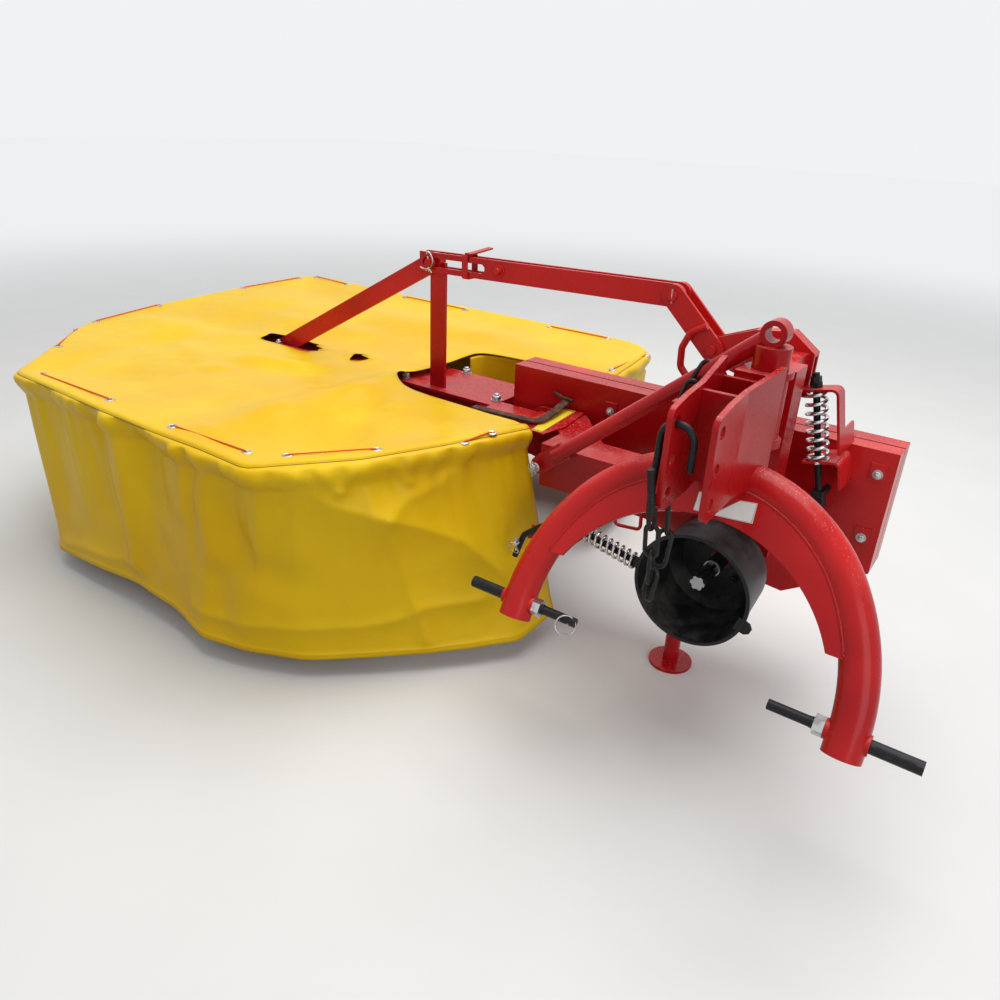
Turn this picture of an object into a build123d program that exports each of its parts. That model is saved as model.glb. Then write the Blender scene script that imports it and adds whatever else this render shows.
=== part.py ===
from build123d import *
from math import atan2, cos, degrees, radians, sin
import os

# Two-drum rear mower on a three-point hitch, working unit out to the side. Millimetres, +Z up.
# Places below are measured from the point on the ground midway between the two lower link pins:
# +X towards the free side of the hitch, +Y to the rear, and the cutting unit lies towards -X.

# Lower link pins
pin_z = 350
pin_shoulder = 412.5
pin_reach = 505
pin_outer_r = 14
pin_inner_r = 11
pin_inner_length = 84
pin_boss_r = 21
pin_boss_proud = 4
pin_thread_r = 12
pin_thread_proud = 6
nut_across = 36
nut_height = 20
seat_gap = 0.05

# Hitch arch
arch_tilt = 28
arch_shoulder_gap = 2.5
arch_rise = 418
arch_side_r = 470
arch_tube_r = 38
arch_wall = 6
arch_tail = 40
web_thick = 10
web_ahead = 24
web_width = 46
web_drop = 10
web_tip = 135

# Top link mast
mast_half = 37
mast_thick = 12
mast_front = -54
mast_low = 706
mast_top = 912
mast_back = 236
mast_back_low = 700
mast_back_top = 950
mast_bend_y = 80
mast_flare = 18
mast_round = 22
mast_brow = 64
mast_brow_rise = 14
mast_heel = 110
mast_heel_rise = 8
top_hole_r = 13
top_holes = [(-30, 884), (-30, 811), (-30, 742)]
web_plate_y = 70
web_plate_low = 736
web_plate_top = 922
back_plate_low = 745

# Swing pivot
king_x = 15
king_y = 300
king_r = 24
king_fit = 0.06
hub_r = 42
lug_low = 760
lug_high = 911
lug_thick = 14
lug_r = 50
hub_gap = 1
collar_r = 38
collar_height = 46
king_foot = 20

# Main beam of the swing frame
beam_low = 482
beam_high = 600
beam_wall = 8
beam_front = 332
beam_back = 440
beam_left = -545
beam_lug_left = -625
beam_corner_x = -420
beam_corner_step = 60

# Tilt axis of the cutting unit, on the driven pulley
tilt_x = -700
tilt_z = 540
tilt_pin_r = 25
lug_front_y = 488
lug_rear_y = 592
tilt_lug_thick = 12
tilt_lug_r = 55
tilt_pin_proud = 8
tilt_stay_x = -590
tilt_stay_wide = 60
tilt_stay_tall = 80
head_r = 44
head_gap = 3

# Swing post and fittings on the beam
post_front = 62
post_wide = 80
web_wide = 24
housing_r = 46
sleeve_r = 31
sleeve_below = 30
sleeve_above = 10
sleeve_gap = 0.3
ear_r = 26
ear_depth = 28
neck_half = 38
pulley_r = 110
bracket_step = 22
bracket_low_x = 60
bracket_low_z = 800
bracket_side_z = 905
bracket_top_x = 110
bracket_top_z = 948
roof_thick = 8

# Belt tensioner, a leaning rod in front of the belt guard
tens_x = 101
tens_y = 534
tens_low = 665
tens_lean = 12.8
tens_plate = 6
tens_left = 30
tens_right = 53
tens_half = 25
tens_round = 14
tens_leg = 200
tens_foot = 72
tens_apron = 66
tens_rod_r = 8
tens_rod_below = 94
tens_rod_above = 34
tens_nut_across = 24
tens_nut_height = 13
tens_fork_r = 15
tens_fork_tall = 42
tens_pivot_r = 9
tens_coil_r = 27
tens_wire_r = 4.4
tens_pitch = 18.4
tens_turns = 9

# Break-away latch rod under the beam's front, x y z of its bends from the hook to the end
release_bends = [(-532, 215, 318), (-508, 215, 388), (-460, 215, 428), (-400, 213, 462), (-335, 211, 460), (-172, 194, 437)]
release_bend_r = [30, 30, 40, 30]
release_r = 8
release_coil_r = 21
release_wire_r = 3.6
release_pitch = 15.2
release_turns = 9
release_plate_x = -341
release_plate_thick = 12
release_nut_across = 26
release_nut_height = 12
release_tab = [(0, 560), (0, 492), (-90, 436), (-138, 436), (-138, 486), (-50, 560)]

# Belt guard
guard_front = 615
guard_back = 725
guard_wall = 3
guard_left = -829
guard_right = 262
guard_top = 698
guard_left_low = 440
guard_right_low = 378
guard_foot_x = 66
guard_foot_z = 250
guard_sole_x = -40
guard_sole_rise = 10
guard_toe_x = -780
guard_toe_drop = 10
guard_toe_rise = 30
guard_split = 3
spacer_r = 10
spacer_inset = 40
spacer_far = 60
spacer_drop = 30
spacer_low = 420
disc_gap = 8

# Stay tube from the king pin's top to the beam
stay_low_x = -524
stay_low_z = 556
stay_r = 19
stay_eye_r = 28
stay_eye_bore = 17
stay_eye_wide = 40
stay_flat = 12
stay_flat_r = 24
stay_flat_long = 92
stay_short = 55

# Lift linkage, in an upright plane across the machine
lift_y = 580
bar_thick = 8
bar_tall = 58
bar_gap = 1
frame_bar_thick = 10.5
apex_x = -1116
apex_z = 966
lever_x = -206
lever_z = 870
joint_x = -326
joint_z = 985
link_pin_r = 12
link_pin_proud = 8
link_end = 44
slot_outward = 32
slot_inward = 200
slot_wide = 26
cheek_r = 28
upright_shift = 10
slant_foot_x = -1830
slant_foot_z = 575

# Loop of bent bar on the front of the lift lever, x z of its bends
loop_bends = [(-222, 930), (-262, 908), (-280, 866), (-278, 818), (-258, 797), (-186, 790)]
loop_bend_r = [26, 30, 26, 16]
loop_r = 9

# Cutting unit
cut_y = 662
drum_gap = 824
cut_x = -1560
cut_beam_right = -864
cut_beam_left = -2110
cut_beam_half = 96
cut_beam_nose = 50
cut_beam_chamfer = 60
cut_beam_low = 488
cut_plate_z = 575
cut_plate_thick = 10
cut_plate_half = 112
cut_plate_left = -1290
axle_r = 22
axle_fit = 0.06
axle_seat = 20
drum_r = 150
drum_top = 462
drum_foot_r = 210
drum_foot_rise = 22
drum_neck_rise = 90
disc_r = 330
disc_z = 78
disc_edge = 5
blade_tip_r = 405
blade_z = 66
blade_root = 40
blade_wide = 48
blade_thick = 5
blade_bolt_r = 10
blade_bolt_in = 20
skid_r = 290
skid_height = 42
skid_sole_r = 160
skid_edge = 6
skid_floor = 17

# Canvas cover; each corner is x y at the edge of the sheet, then x y at the hem
cover_top = 623
cover_hem = 68
cover_skin = 4
cover_reach = 2528
cover_front = 280
cover_back = 1374
cover_sag = 32
cover_corners = [(-2018, -cover_front, -1950, -cover_front), (-955, -cover_front, -1045, -cover_front),
                 (-790, -88, -722, -42), (-640, 262, -508, 210), (-612, 372, -505, 385),
                 (-656, 898, -640, 896), (-684, 1130, -680, 1130), (-715, 1325, -712, 1330),
                 (-800, cover_back, -800, cover_back), (-2440, cover_back, -2440, cover_back),
                 (-cover_reach, 1290, -cover_reach, 1290), (-cover_reach, 930, -cover_reach, 930),
                 (-2430, 200, -2420, 210)]
# Where the sheet starts to sag and where it is lowest, x y and x y
sag_corners = [(-2400, 260, -2100, 450), (-2000, -190, -1900, 380), (-1050, -200, -1300, 380),
               (-740, 240, -1230, 500), (-770, 1080, -1230, 640), (-2350, 1180, -2050, 650)]
notch_plan = [(-470, 386), (-505, 385), (-612, 372), (-874, 404), (-1121, 430), (-1196, 492), (-1214, 587),
              (-1190, 740), (-1194, 834), (-1181, 905), (-1102, 918), (-656, 898), (-470, 898)]
slit_x = -1755
slit_long = 230
slit_wide = 46

# Tube under the cover's edge, x y of its bends, and the flat arms that carry it
hoop_bends = [(-648, 352), (-674, 262), (-818, -74), (-972, -244), (-2002, -244), (-2400, 224), (-2492, 936),
              (-2492, 1275), (-2425, 1338), (-815, 1338), (-752, 1306), (-694, 932)]
hoop_bend_r = [60, 60, 60, 60, 60, 60, 40, 40, 60, 40]
hoop_r = 10
hoop_gap = 0.3
arm_x = -1480
arm_wide = 40
arm_thick = 20

# Driving shaft and its guard
shaft_x = -24
shaft_z = 440
shaft_r = 17.45
spline_root_r = 14.8
spline_tooth = 8.7
spline_length = 85
journal_r = 20
bowl_mouth_y = 150
bowl_r = 135
bowl_wall = 4
bowl_back_y = 330
bowl_taper = 14
bowl_shoulder = 30
bowl_back_drop = 40
bowl_lip = 7
shaft_end_y = 192

# Parking stand
stand_x = -155
stand_y = 469
stand_r = 21
foot_r = 60
foot_thick = 8

# The frame's origin is under the middle of the whole machine
hitch_x = (cover_reach - pin_reach) / 2
hitch_y = (cover_front - cover_back) / 2


def level(z):
    return Plane(origin=(hitch_x, hitch_y, z), x_dir=(1, 0, 0), z_dir=(0, 0, 1))


def facing(y):
    return Plane(origin=(hitch_x, hitch_y + y, 0), x_dir=(1, 0, 0), z_dir=(0, -1, 0))


def beside(x):
    return Plane(origin=(hitch_x + x, hitch_y, 0), x_dir=(0, 1, 0), z_dir=(1, 0, 0))


def spot(x, y, z):
    return Vector(hitch_x + x, hitch_y + y, z)


os.makedirs("parts", exist_ok=True)

tilt = radians(arch_tilt)
arch_plane = Plane(origin=spot(0, 0, pin_z), x_dir=(1, 0, 0), z_dir=(0, -cos(tilt), sin(tilt)))

arch_half = pin_shoulder - arch_shoulder_gap - arch_tube_r
boss_inner = arch_half - arch_tube_r - pin_boss_proud
thread_end = boss_inner - nut_height - pin_thread_proud

# The arch is three arcs that meet smoothly: a wide one each side and a closer one over the crown
side_shift = arch_side_r - arch_half
crown_r = (arch_side_r**2 - side_shift**2 - arch_rise**2) / (2 * (arch_side_r - arch_rise))
meet = degrees(atan2(arch_rise - crown_r, side_shift))
with BuildLine(arch_plane) as arch_path:
    Line((arch_half, -arch_tail), (arch_half, 0))
    CenterArc((-side_shift, 0), arch_side_r, 0, meet)
    CenterArc((0, arch_rise - crown_r), crown_r, meet, 180 - 2 * meet)
    CenterArc((side_shift, 0), arch_side_r, 180 - meet, meet)
    Line((-arch_half, 0), (-arch_half, -arch_tail))
arch_end = Plane(origin=arch_path.line @ 0, z_dir=arch_path.line % 0)

# The arch's outer form, used to seat what is welded to it
with BuildPart() as arch_form:
    with BuildSketch(arch_end):
        Circle(arch_tube_r)
    sweep(path=arch_path.line)

# Bent arch tube, with the cross bosses that hold the lower link pins
with BuildPart() as hitch_arch:
    with BuildSketch(arch_end):
        Circle(arch_tube_r)
        Circle(arch_tube_r - arch_wall, mode=Mode.SUBTRACT)
    sweep(path=arch_path.line)
    for side in (-1, 1):
        with BuildSketch(beside(side * boss_inner)):
            with Locations((0, pin_z)):
                Circle(pin_boss_r)
        extrude(amount=side * (pin_shoulder - boss_inner))
        with BuildSketch(beside(side * boss_inner)):
            with Locations((0, pin_z)):
                Circle(pin_thread_r + seat_gap)
        extrude(amount=side * (pin_shoulder - boss_inner), mode=Mode.SUBTRACT)
hitch_arch.part.label = "hitch_arch"
export_step(hitch_arch.part, "parts/hitch_arch.step")

# Crescent plate on the front of the arch, from the tube down to a plain arc
with BuildPart() as arch_web:
    with BuildSketch(arch_plane.offset(web_ahead - web_thick / 2)):
        with BuildLine():
            CenterArc((-side_shift, 0), arch_side_r, 0, meet)
            CenterArc((0, arch_rise - crown_r), crown_r, meet, 180 - 2 * meet)
            CenterArc((side_shift, 0), arch_side_r, 180 - meet, meet)
            Line((-arch_half, 0), (arch_half, 0))
        make_face()
        with Locations((0, -web_drop)):
            Circle(arch_half - web_width, mode=Mode.SUBTRACT)
        Rectangle(3 * arch_half, 2 * web_tip, mode=Mode.SUBTRACT)
    extrude(amount=web_thick)
    add(arch_form.part, mode=Mode.SUBTRACT)
arch_web.part.label = "arch_web"
export_step(arch_web.part, "parts/arch_web.step")

# Two upright mast plates with three top link holes each, bent outwards behind the front cross plate
flared = mast_half + mast_flare
with BuildPart() as mast_plates:
    for side in (-1, 1):
        with BuildSketch(level(mast_back_low)):
            with BuildLine():
                Polyline((side * mast_half, mast_front), (side * (mast_half + mast_thick), mast_front),
                         (side * (mast_half + mast_thick), mast_bend_y), (side * (flared + mast_thick), mast_back),
                         (side * flared, mast_back), (side * mast_half, mast_bend_y), close=True)
            make_face()
        extrude(amount=mast_back_top - mast_back_low)
    with BuildSketch(beside(-flared - mast_thick)):
        with BuildLine():
            Polyline((mast_front, mast_low), (mast_front, mast_top), (mast_front + mast_brow, mast_top + mast_brow_rise),
                     (mast_back, mast_back_top), (mast_back, mast_back_low), (mast_heel, mast_low + mast_heel_rise), close=True)
        mast_side = make_face()
        fillet(mast_side.vertices().sort_by(Axis.X)[:2], radius=mast_round)
        with Locations(*top_holes):
            Circle(top_hole_r, mode=Mode.SUBTRACT)
    extrude(amount=2 * (flared + mast_thick), mode=Mode.INTERSECT)
    add(arch_form.part, mode=Mode.SUBTRACT)
    add(arch_web.part, mode=Mode.SUBTRACT)
mast_plates.part.label = "mast_plates"
export_step(mast_plates.part, "parts/mast_plates.step")

# Cross plates between the mast plates, with the two round lugs of the king pin
back_narrow = mast_flare * mast_thick / (mast_back - mast_bend_y)
with BuildPart() as king_lugs:
    with BuildSketch(facing(web_plate_y)):
        with Locations((0, (web_plate_low + web_plate_top) / 2)):
            Rectangle(2 * mast_half, web_plate_top - web_plate_low)
    extrude(amount=-mast_thick)
    with BuildSketch(level(back_plate_low)):
        with BuildLine():
            Polyline((-flared + back_narrow, mast_back - mast_thick), (flared - back_narrow, mast_back - mast_thick),
                     (flared, mast_back), (-flared, mast_back), close=True)
        make_face()
    extrude(amount=lug_high - back_plate_low)
    for z in (lug_low, lug_high):
        with BuildSketch(level(z)):
            with Locations((king_x, king_y)):
                Circle(lug_r)
            with Locations((0, (mast_back + king_y) / 2)):
                Rectangle(2 * mast_half, king_y - mast_back)
            with Locations((king_x, king_y)):
                Circle(king_r + king_fit, mode=Mode.SUBTRACT)
        extrude(amount=lug_thick)
king_lugs.part.label = "king_lugs"
export_step(king_lugs.part, "parts/king_lugs.step")

# Lower link pins, each in three steps from its inner end: inner pin, thread through the boss, outer pin
pin_steps = [(thread_end - pin_inner_length, thread_end, pin_inner_r),
             (thread_end, pin_shoulder, pin_thread_r),
             (pin_shoulder, pin_reach, pin_outer_r)]
with BuildPart() as link_pins:
    for side in (-1, 1):
        for start, end, radius in pin_steps:
            with BuildSketch(beside(side * start)):
                with Locations((0, pin_z)):
                    Circle(radius)
            extrude(amount=side * (end - start))
link_pins.part.label = "link_pins"
export_step(link_pins.part, "parts/link_pins.step")

# Hexagon nuts on the inner side of each link pin
with BuildPart() as pin_nuts:
    for side in (-1, 1):
        with BuildSketch(beside(side * boss_inner)):
            with Locations((0, pin_z)):
                RegularPolygon(nut_across / 2, 6, major_radius=False)
                Circle(pin_thread_r + seat_gap, mode=Mode.SUBTRACT)
        extrude(amount=-side * nut_height)
pin_nuts.part.label = "pin_nuts"
export_step(pin_nuts.part, "parts/pin_nuts.step")

# King pin in the hub of the swing frame
king_top = lug_high + lug_thick + hub_gap
with BuildPart() as king_pin:
    with BuildSketch(level(lug_low - king_foot)):
        with Locations((king_x, king_y)):
            Circle(king_r)
    extrude(amount=king_top - lug_low + king_foot)
king_pin.part.label = "king_pin"
export_step(king_pin.part, "parts/king_pin.step")

# Swing post: hub tube on the king pin, web and hollow column down to the beam
hub_low = lug_low + lug_thick + hub_gap
hub_high = lug_high - hub_gap
with BuildPart() as swing_post:
    with BuildSketch(level(hub_low)):
        with Locations((king_x, king_y)):
            Circle(hub_r)
        with Locations((king_x, king_y + post_front / 2)):
            Rectangle(web_wide, post_front)
        with Locations((king_x, king_y)):
            Circle(king_r + king_fit, mode=Mode.SUBTRACT)
    extrude(amount=hub_high - hub_low)
    with BuildSketch(level(beam_high)):
        with Locations((king_x, (king_y + post_front + beam_back) / 2)):
            Rectangle(post_wide, beam_back - king_y - post_front)
    extrude(amount=hub_high - beam_high)
swing_post.part.label = "swing_post"
export_step(swing_post.part, "parts/swing_post.step")

# Main beam: closed box with the tilt lugs and their pin, and the driving shaft's housing
with BuildPart() as main_beam:
    with BuildSketch(level(beam_low)) as beam_plan:
        with BuildLine():
            Polyline((post_wide, beam_front), (post_wide, beam_back), (beam_corner_x, beam_back),
                     (beam_lug_left + beam_corner_step, lug_rear_y + tilt_lug_thick),
                     (beam_lug_left, lug_rear_y + tilt_lug_thick), (beam_lug_left, lug_front_y),
                     (beam_left, lug_front_y - beam_corner_step), (beam_left, beam_front), close=True)
        make_face()
    extrude(amount=beam_high - beam_low)
    with BuildSketch(level(beam_low + beam_wall)):
        offset(beam_plan.sketch_local, amount=-beam_wall)
    extrude(amount=beam_high - beam_low - 2 * beam_wall, mode=Mode.SUBTRACT)
    for y in (lug_front_y, lug_rear_y):
        with BuildSketch(facing(y)):
            with Locations((tilt_x, tilt_z)):
                Circle(tilt_lug_r)
            with Locations(((tilt_x + beam_lug_left) / 2, tilt_z)):
                Rectangle(beam_lug_left - tilt_x, 2 * tilt_lug_r)
        extrude(amount=-tilt_lug_thick)
    with BuildSketch(facing(lug_front_y - tilt_pin_proud)):
        with Locations((tilt_x, tilt_z)):
            Circle(tilt_pin_r)
    extrude(amount=-(lug_rear_y + tilt_lug_thick - lug_front_y + 2 * tilt_pin_proud))
    with BuildSketch(facing(lug_rear_y + tilt_lug_thick)):
        with Locations((tilt_stay_x, tilt_z)):
            Rectangle(tilt_stay_wide, tilt_stay_tall)
    extrude(amount=-(guard_front - lug_rear_y - tilt_lug_thick))
    with BuildSketch(facing(bowl_back_y)):
        with Locations((shaft_x, shaft_z)):
            Circle(housing_r)
    extrude(amount=-(guard_front - bowl_back_y))
    with BuildSketch(facing(bowl_back_y)):
        with Locations((shaft_x, shaft_z)):
            Circle(journal_r + king_fit)
    extrude(amount=-(guard_front - bowl_back_y), mode=Mode.SUBTRACT)
    with BuildSketch(level(beam_low - sleeve_below)):
        with Locations((stand_x, stand_y)):
            Circle(sleeve_r)
    extrude(amount=beam_high - beam_low + sleeve_below + sleeve_above)
    with BuildSketch(level(beam_low - sleeve_below)):
        with Locations((stand_x, stand_y)):
            Circle(stand_r + sleeve_gap)
    extrude(amount=beam_high - beam_low + sleeve_below + sleeve_above, mode=Mode.SUBTRACT)
    with BuildSketch(facing(beam_front)):
        with Locations((stay_low_x, stay_low_z)):
            Circle(ear_r)
    extrude(amount=ear_depth)
main_beam.part.label = "main_beam"
export_step(main_beam.part, "parts/main_beam.step")

# Stay tube from the top of the king pin down to the ear on the beam
stay_eye_z = king_top + collar_height + stay_eye_r - 2
stay_flat_y = beam_front - ear_depth - stay_flat / 2
stay_from = spot(king_x, king_y, stay_eye_z)
stay_to = spot(stay_low_x, stay_flat_y, stay_low_z)
stay_run = (stay_to - stay_from).normalized()
stay_length = (stay_to - stay_from).length
stay_turn = degrees(atan2(stay_eye_z - stay_low_z, king_x - stay_low_x))
with BuildPart() as stay_tube:
    with BuildSketch(Plane(origin=stay_from, z_dir=stay_run)):
        Circle(stay_r)
    extrude(amount=stay_length - stay_short)
    with BuildSketch(facing(stay_flat_y - stay_flat / 2)):
        with Locations(Location((stay_low_x, stay_low_z), stay_turn)):
            Circle(stay_flat_r)
            with Locations((stay_flat_long / 2, 0)):
                Rectangle(stay_flat_long, 2 * stay_flat_r)
    extrude(amount=-stay_flat)
    with BuildSketch(level(king_top)):
        with Locations((king_x, king_y)):
            Circle(collar_r)
    extrude(amount=collar_height)
    with BuildSketch(facing(king_y - stay_eye_wide / 2)):
        with Locations((king_x, stay_eye_z)):
            Circle(stay_eye_r)
    extrude(amount=-stay_eye_wide)
    with BuildSketch(facing(king_y - stay_eye_wide / 2)):
        with Locations((king_x, stay_eye_z)):
            Circle(stay_eye_bore)
    extrude(amount=-stay_eye_wide, mode=Mode.SUBTRACT)
stay_tube.part.label = "stay_tube"
export_step(stay_tube.part, "parts/stay_tube.step")

# Half thicknesses of the lift linkage, from its middle plane outwards: frame bars, link bars, lever bars
link_in = frame_bar_thick + bar_gap + bar_gap / 2
link_out = link_in + bar_thick
lever_in = link_out + bar_gap
lever_out = lever_in + bar_thick
pin_half = lever_out + link_pin_proud

# Bracket behind the king pin: two cheeks between the lever's bars, with the lever's pin
with BuildPart() as lever_bracket:
    for y in (lift_y - link_out, lift_y + link_in):
        with BuildSketch(facing(y)):
            with BuildLine():
                Polyline((lever_x - bracket_step, lever_z + bracket_step), (lever_x - bracket_step, lever_z - bracket_step),
                         (-bracket_low_x, bracket_low_z), (king_x + bracket_step, bracket_low_z),
                         (king_x + bracket_step, bracket_side_z), (-bracket_step, bracket_top_z),
                         (-bracket_top_x, bracket_top_z - bracket_step / 2), close=True)
            make_face()
            with Locations((lever_x, lever_z)):
                Circle(cheek_r)
        extrude(amount=-bar_thick)
    with BuildSketch(facing(lift_y - link_in)):
        with BuildLine():
            Polyline((-bracket_top_x, bracket_top_z - bracket_step / 2), (-bracket_step, bracket_top_z),
                     (king_x + bracket_step, bracket_side_z), (king_x + bracket_step, bracket_side_z - roof_thick),
                     (-bracket_step, bracket_top_z - roof_thick),
                     (-bracket_top_x, bracket_top_z - bracket_step / 2 - roof_thick), close=True)
        make_face()
    extrude(amount=-2 * link_in)
    with BuildSketch(facing(beam_back)):
        with Locations((-bracket_step / 2, (bracket_low_z + bracket_side_z) / 2)):
            Rectangle(post_wide - bracket_step / 2, bracket_side_z - bracket_low_z)
    extrude(amount=-(lift_y + link_out - beam_back))
    with BuildSketch(facing(lift_y - pin_half)):
        with Locations((lever_x, lever_z)):
            Circle(link_pin_r)
    extrude(amount=-2 * pin_half)
lever_bracket.part.label = "lever_bracket"
export_step(lever_bracket.part, "parts/lever_bracket.step")

# Belt guard: two sheet halves that meet along a narrow slot
guard_mid = (guard_front + guard_back) / 2
for name, start, deep in (("belt_guard_front", guard_front, guard_mid - guard_split - guard_front),
                          ("belt_guard_rear", guard_back, guard_mid + guard_split - guard_back)):
    with BuildPart() as half:
        with BuildSketch(facing(start)) as outline:
            with BuildLine():
                Polyline((guard_left, guard_top), (guard_right, guard_top), (guard_right, guard_right_low),
                         (guard_foot_x, guard_foot_z), (guard_sole_x, guard_foot_z + guard_sole_rise),
                         (guard_toe_x, guard_left_low - guard_toe_drop), (guard_left, guard_left_low + guard_toe_rise),
                         close=True)
            make_face()
        extrude(amount=-deep)
        with BuildSketch(facing(start + guard_wall * (1 if deep > 0 else -1))):
            offset(outline.sketch_local, amount=-guard_wall)
        extrude(amount=-deep, mode=Mode.SUBTRACT)
        if deep > 0:
            with BuildSketch(facing(start)):
                with Locations((shaft_x, shaft_z)):
                    Circle(journal_r + guard_wall)
            extrude(amount=-guard_wall, mode=Mode.SUBTRACT)
    half.part.label = name
    export_step(half.part, "parts/" + name + ".step")

# Three round spacers that hold the guard's halves apart
with BuildPart() as guard_tie:
    for x, z in ((guard_left + spacer_far, guard_top - spacer_drop), (guard_right - spacer_inset, guard_top - spacer_drop),
                 (guard_right - spacer_inset, spacer_low)):
        with BuildSketch(facing(guard_front + guard_wall)):
            with Locations((x, z)):
                Circle(spacer_r)
        extrude(amount=-(guard_back - guard_front - 2 * guard_wall))
guard_tie.part.label = "guard_tie"
export_step(guard_tie.part, "parts/guard_tie.step")

# Belt tensioner: a bent bracket that stands on the guard's top, and a bent plate on its front under the spring
tens_coils = tens_turns * tens_pitch
lean = Plane(origin=spot(tens_x, tens_y, tens_low), x_dir=(cos(radians(tens_lean)), 0, sin(radians(tens_lean))),
             z_dir=(-sin(radians(tens_lean)), 0, cos(radians(tens_lean))))
lean_side = Plane(origin=spot(tens_x, tens_y - tens_half, tens_low), x_dir=lean.x_dir, z_dir=(0, -1, 0))
with BuildPart() as tensioner_brackets:
    with BuildSketch(lean_side):
        with BuildLine() as bracket_path:
            FilletPolyline((-tens_left, tens_coils + 1.5 * tens_plate), (tens_right, tens_coils + 1.5 * tens_plate),
                           (tens_right, tens_coils + 1.5 * tens_plate - tens_leg), radius=tens_round)
        trace(bracket_path.line, line_width=tens_plate)
    extrude(amount=-2 * tens_half)
    with BuildSketch(lean_side):
        with BuildLine() as foot_path:
            Line((tens_right, tens_foot), (tens_right, 0))
        trace(foot_path.line, line_width=tens_plate)
    extrude(amount=-(guard_front - tens_y + 2 * tens_half))
    with BuildSketch(facing(tens_y - tens_half)):
        with Locations((tens_x, guard_top / 2)):
            Rectangle(2 * tens_leg, guard_top)
    extrude(amount=-(guard_front - tens_y + 2 * tens_half), mode=Mode.SUBTRACT)
    with BuildSketch(lean_side):
        with BuildLine() as apron_path:
            FilletPolyline((-tens_left, tens_plate / 2), (tens_right, tens_plate / 2),
                           (tens_right, tens_plate / 2 - tens_apron), radius=tens_round)
        trace(apron_path.line, line_width=tens_plate)
    extrude(amount=-(guard_front - tens_y + tens_half))
    with BuildSketch(lean):
        Circle(tens_rod_r + 1)
    extrude(amount=tens_coils + 3 * tens_plate, mode=Mode.SUBTRACT)
tensioner_brackets.part.label = "tensioner_brackets"
export_step(tensioner_brackets.part, "parts/tensioner_brackets.step")

# Threaded rod with two nuts on top, and a fork at its foot on a pivot that comes out of the guard
with BuildPart() as tensioner_rod:
    with BuildSketch(lean.offset(-tens_rod_below)):
        Circle(tens_rod_r)
    extrude(amount=tens_rod_below + tens_coils + 2 * tens_plate + tens_rod_above)
    for i in range(2):
        with BuildSketch(lean.offset(tens_coils + 2 * tens_plate + i * tens_nut_height)):
            RegularPolygon(tens_nut_across / 2 - i, 6, rotation=20 * i, major_radius=False)
        extrude(amount=tens_nut_height)
    with BuildSketch(lean.offset(-tens_rod_below - tens_fork_tall / 2)):
        RectangleRounded(2 * tens_fork_r, 2 * tens_fork_r, tens_fork_r / 3)
    extrude(amount=tens_fork_tall)
    fork = spot(tens_x, 0, tens_low) - lean.z_dir * tens_rod_below
    with BuildSketch(Plane(origin=(fork.X, hitch_y + tens_y, fork.Z), x_dir=(1, 0, 0), z_dir=(0, -1, 0))):
        Circle(tens_pivot_r)
    extrude(amount=-(guard_front - tens_y))
tensioner_rod.part.label = "tensioner_rod"
export_step(tensioner_rod.part, "parts/tensioner_rod.step")


def coil_sleeve(seat, coil_r, wire_r, pitch, turns):
    # A coil spring as one sleeve: a thin tube whose outside has a half round for each turn
    inner_r = coil_r - 2 * wire_r
    with BuildPart() as sleeve:
        with BuildSketch(seat):
            with BuildLine():
                for i in range(turns):
                    ThreePointArc((coil_r - wire_r, i * pitch), (coil_r, (i + 0.5) * pitch), (coil_r - wire_r, (i + 1) * pitch))
                Polyline((coil_r - wire_r, turns * pitch), (inner_r, turns * pitch), (inner_r, 0), (coil_r - wire_r, 0))
            make_face()
        revolve(axis=Axis(seat.origin, seat.y_dir))
    return sleeve


tensioner_seat = Plane(origin=lean.origin + lean.z_dir * tens_plate, x_dir=lean.x_dir, z_dir=(0, -1, 0))
tensioner_spring = coil_sleeve(tensioner_seat, tens_coil_r, tens_wire_r, tens_pitch, tens_turns)
tensioner_spring.part.label = "tensioner_spring"
export_step(tensioner_spring.part, "parts/tensioner_spring.step")

# Break-away latch: bent rod with a hook at one end, the plate that carries it and a nut at the other end
release_points = [spot(*bend) for bend in release_bends]
release_run = (release_points[-1] - release_points[-2]).normalized()
with BuildPart() as release_rod:
    with BuildLine() as release_path:
        FilletPolyline(*release_points, radius=release_bend_r)
    with BuildSketch(Plane(origin=release_path.line @ 0, z_dir=release_path.line % 0)):
        Circle(release_r)
    sweep(path=release_path.line)
    with BuildSketch(beside(release_plate_x)):
        with BuildLine():
            Polyline(*[(beam_front + y, z) for y, z in release_tab], close=True)
        make_face()
    extrude(amount=release_plate_thick / 2, both=True)
    with BuildSketch(Plane(origin=release_points[-1], z_dir=release_run)):
        RegularPolygon(release_nut_across / 2, 6, major_radius=False)
    extrude(amount=-release_nut_height)
release_rod.part.label = "release_rod"
export_step(release_rod.part, "parts/release_rod.step")

release_side = release_run.cross(Vector(0, 0, 1)).normalized()
release_seat = Plane(origin=release_points[-1] - release_run * (release_nut_height + release_turns * release_pitch),
                     x_dir=release_run.cross(release_side), z_dir=release_side)
release_spring = coil_sleeve(release_seat, release_coil_r, release_wire_r, release_pitch, release_turns)
release_spring.part.label = "release_spring"
export_step(release_spring.part, "parts/release_spring.step")

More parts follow.
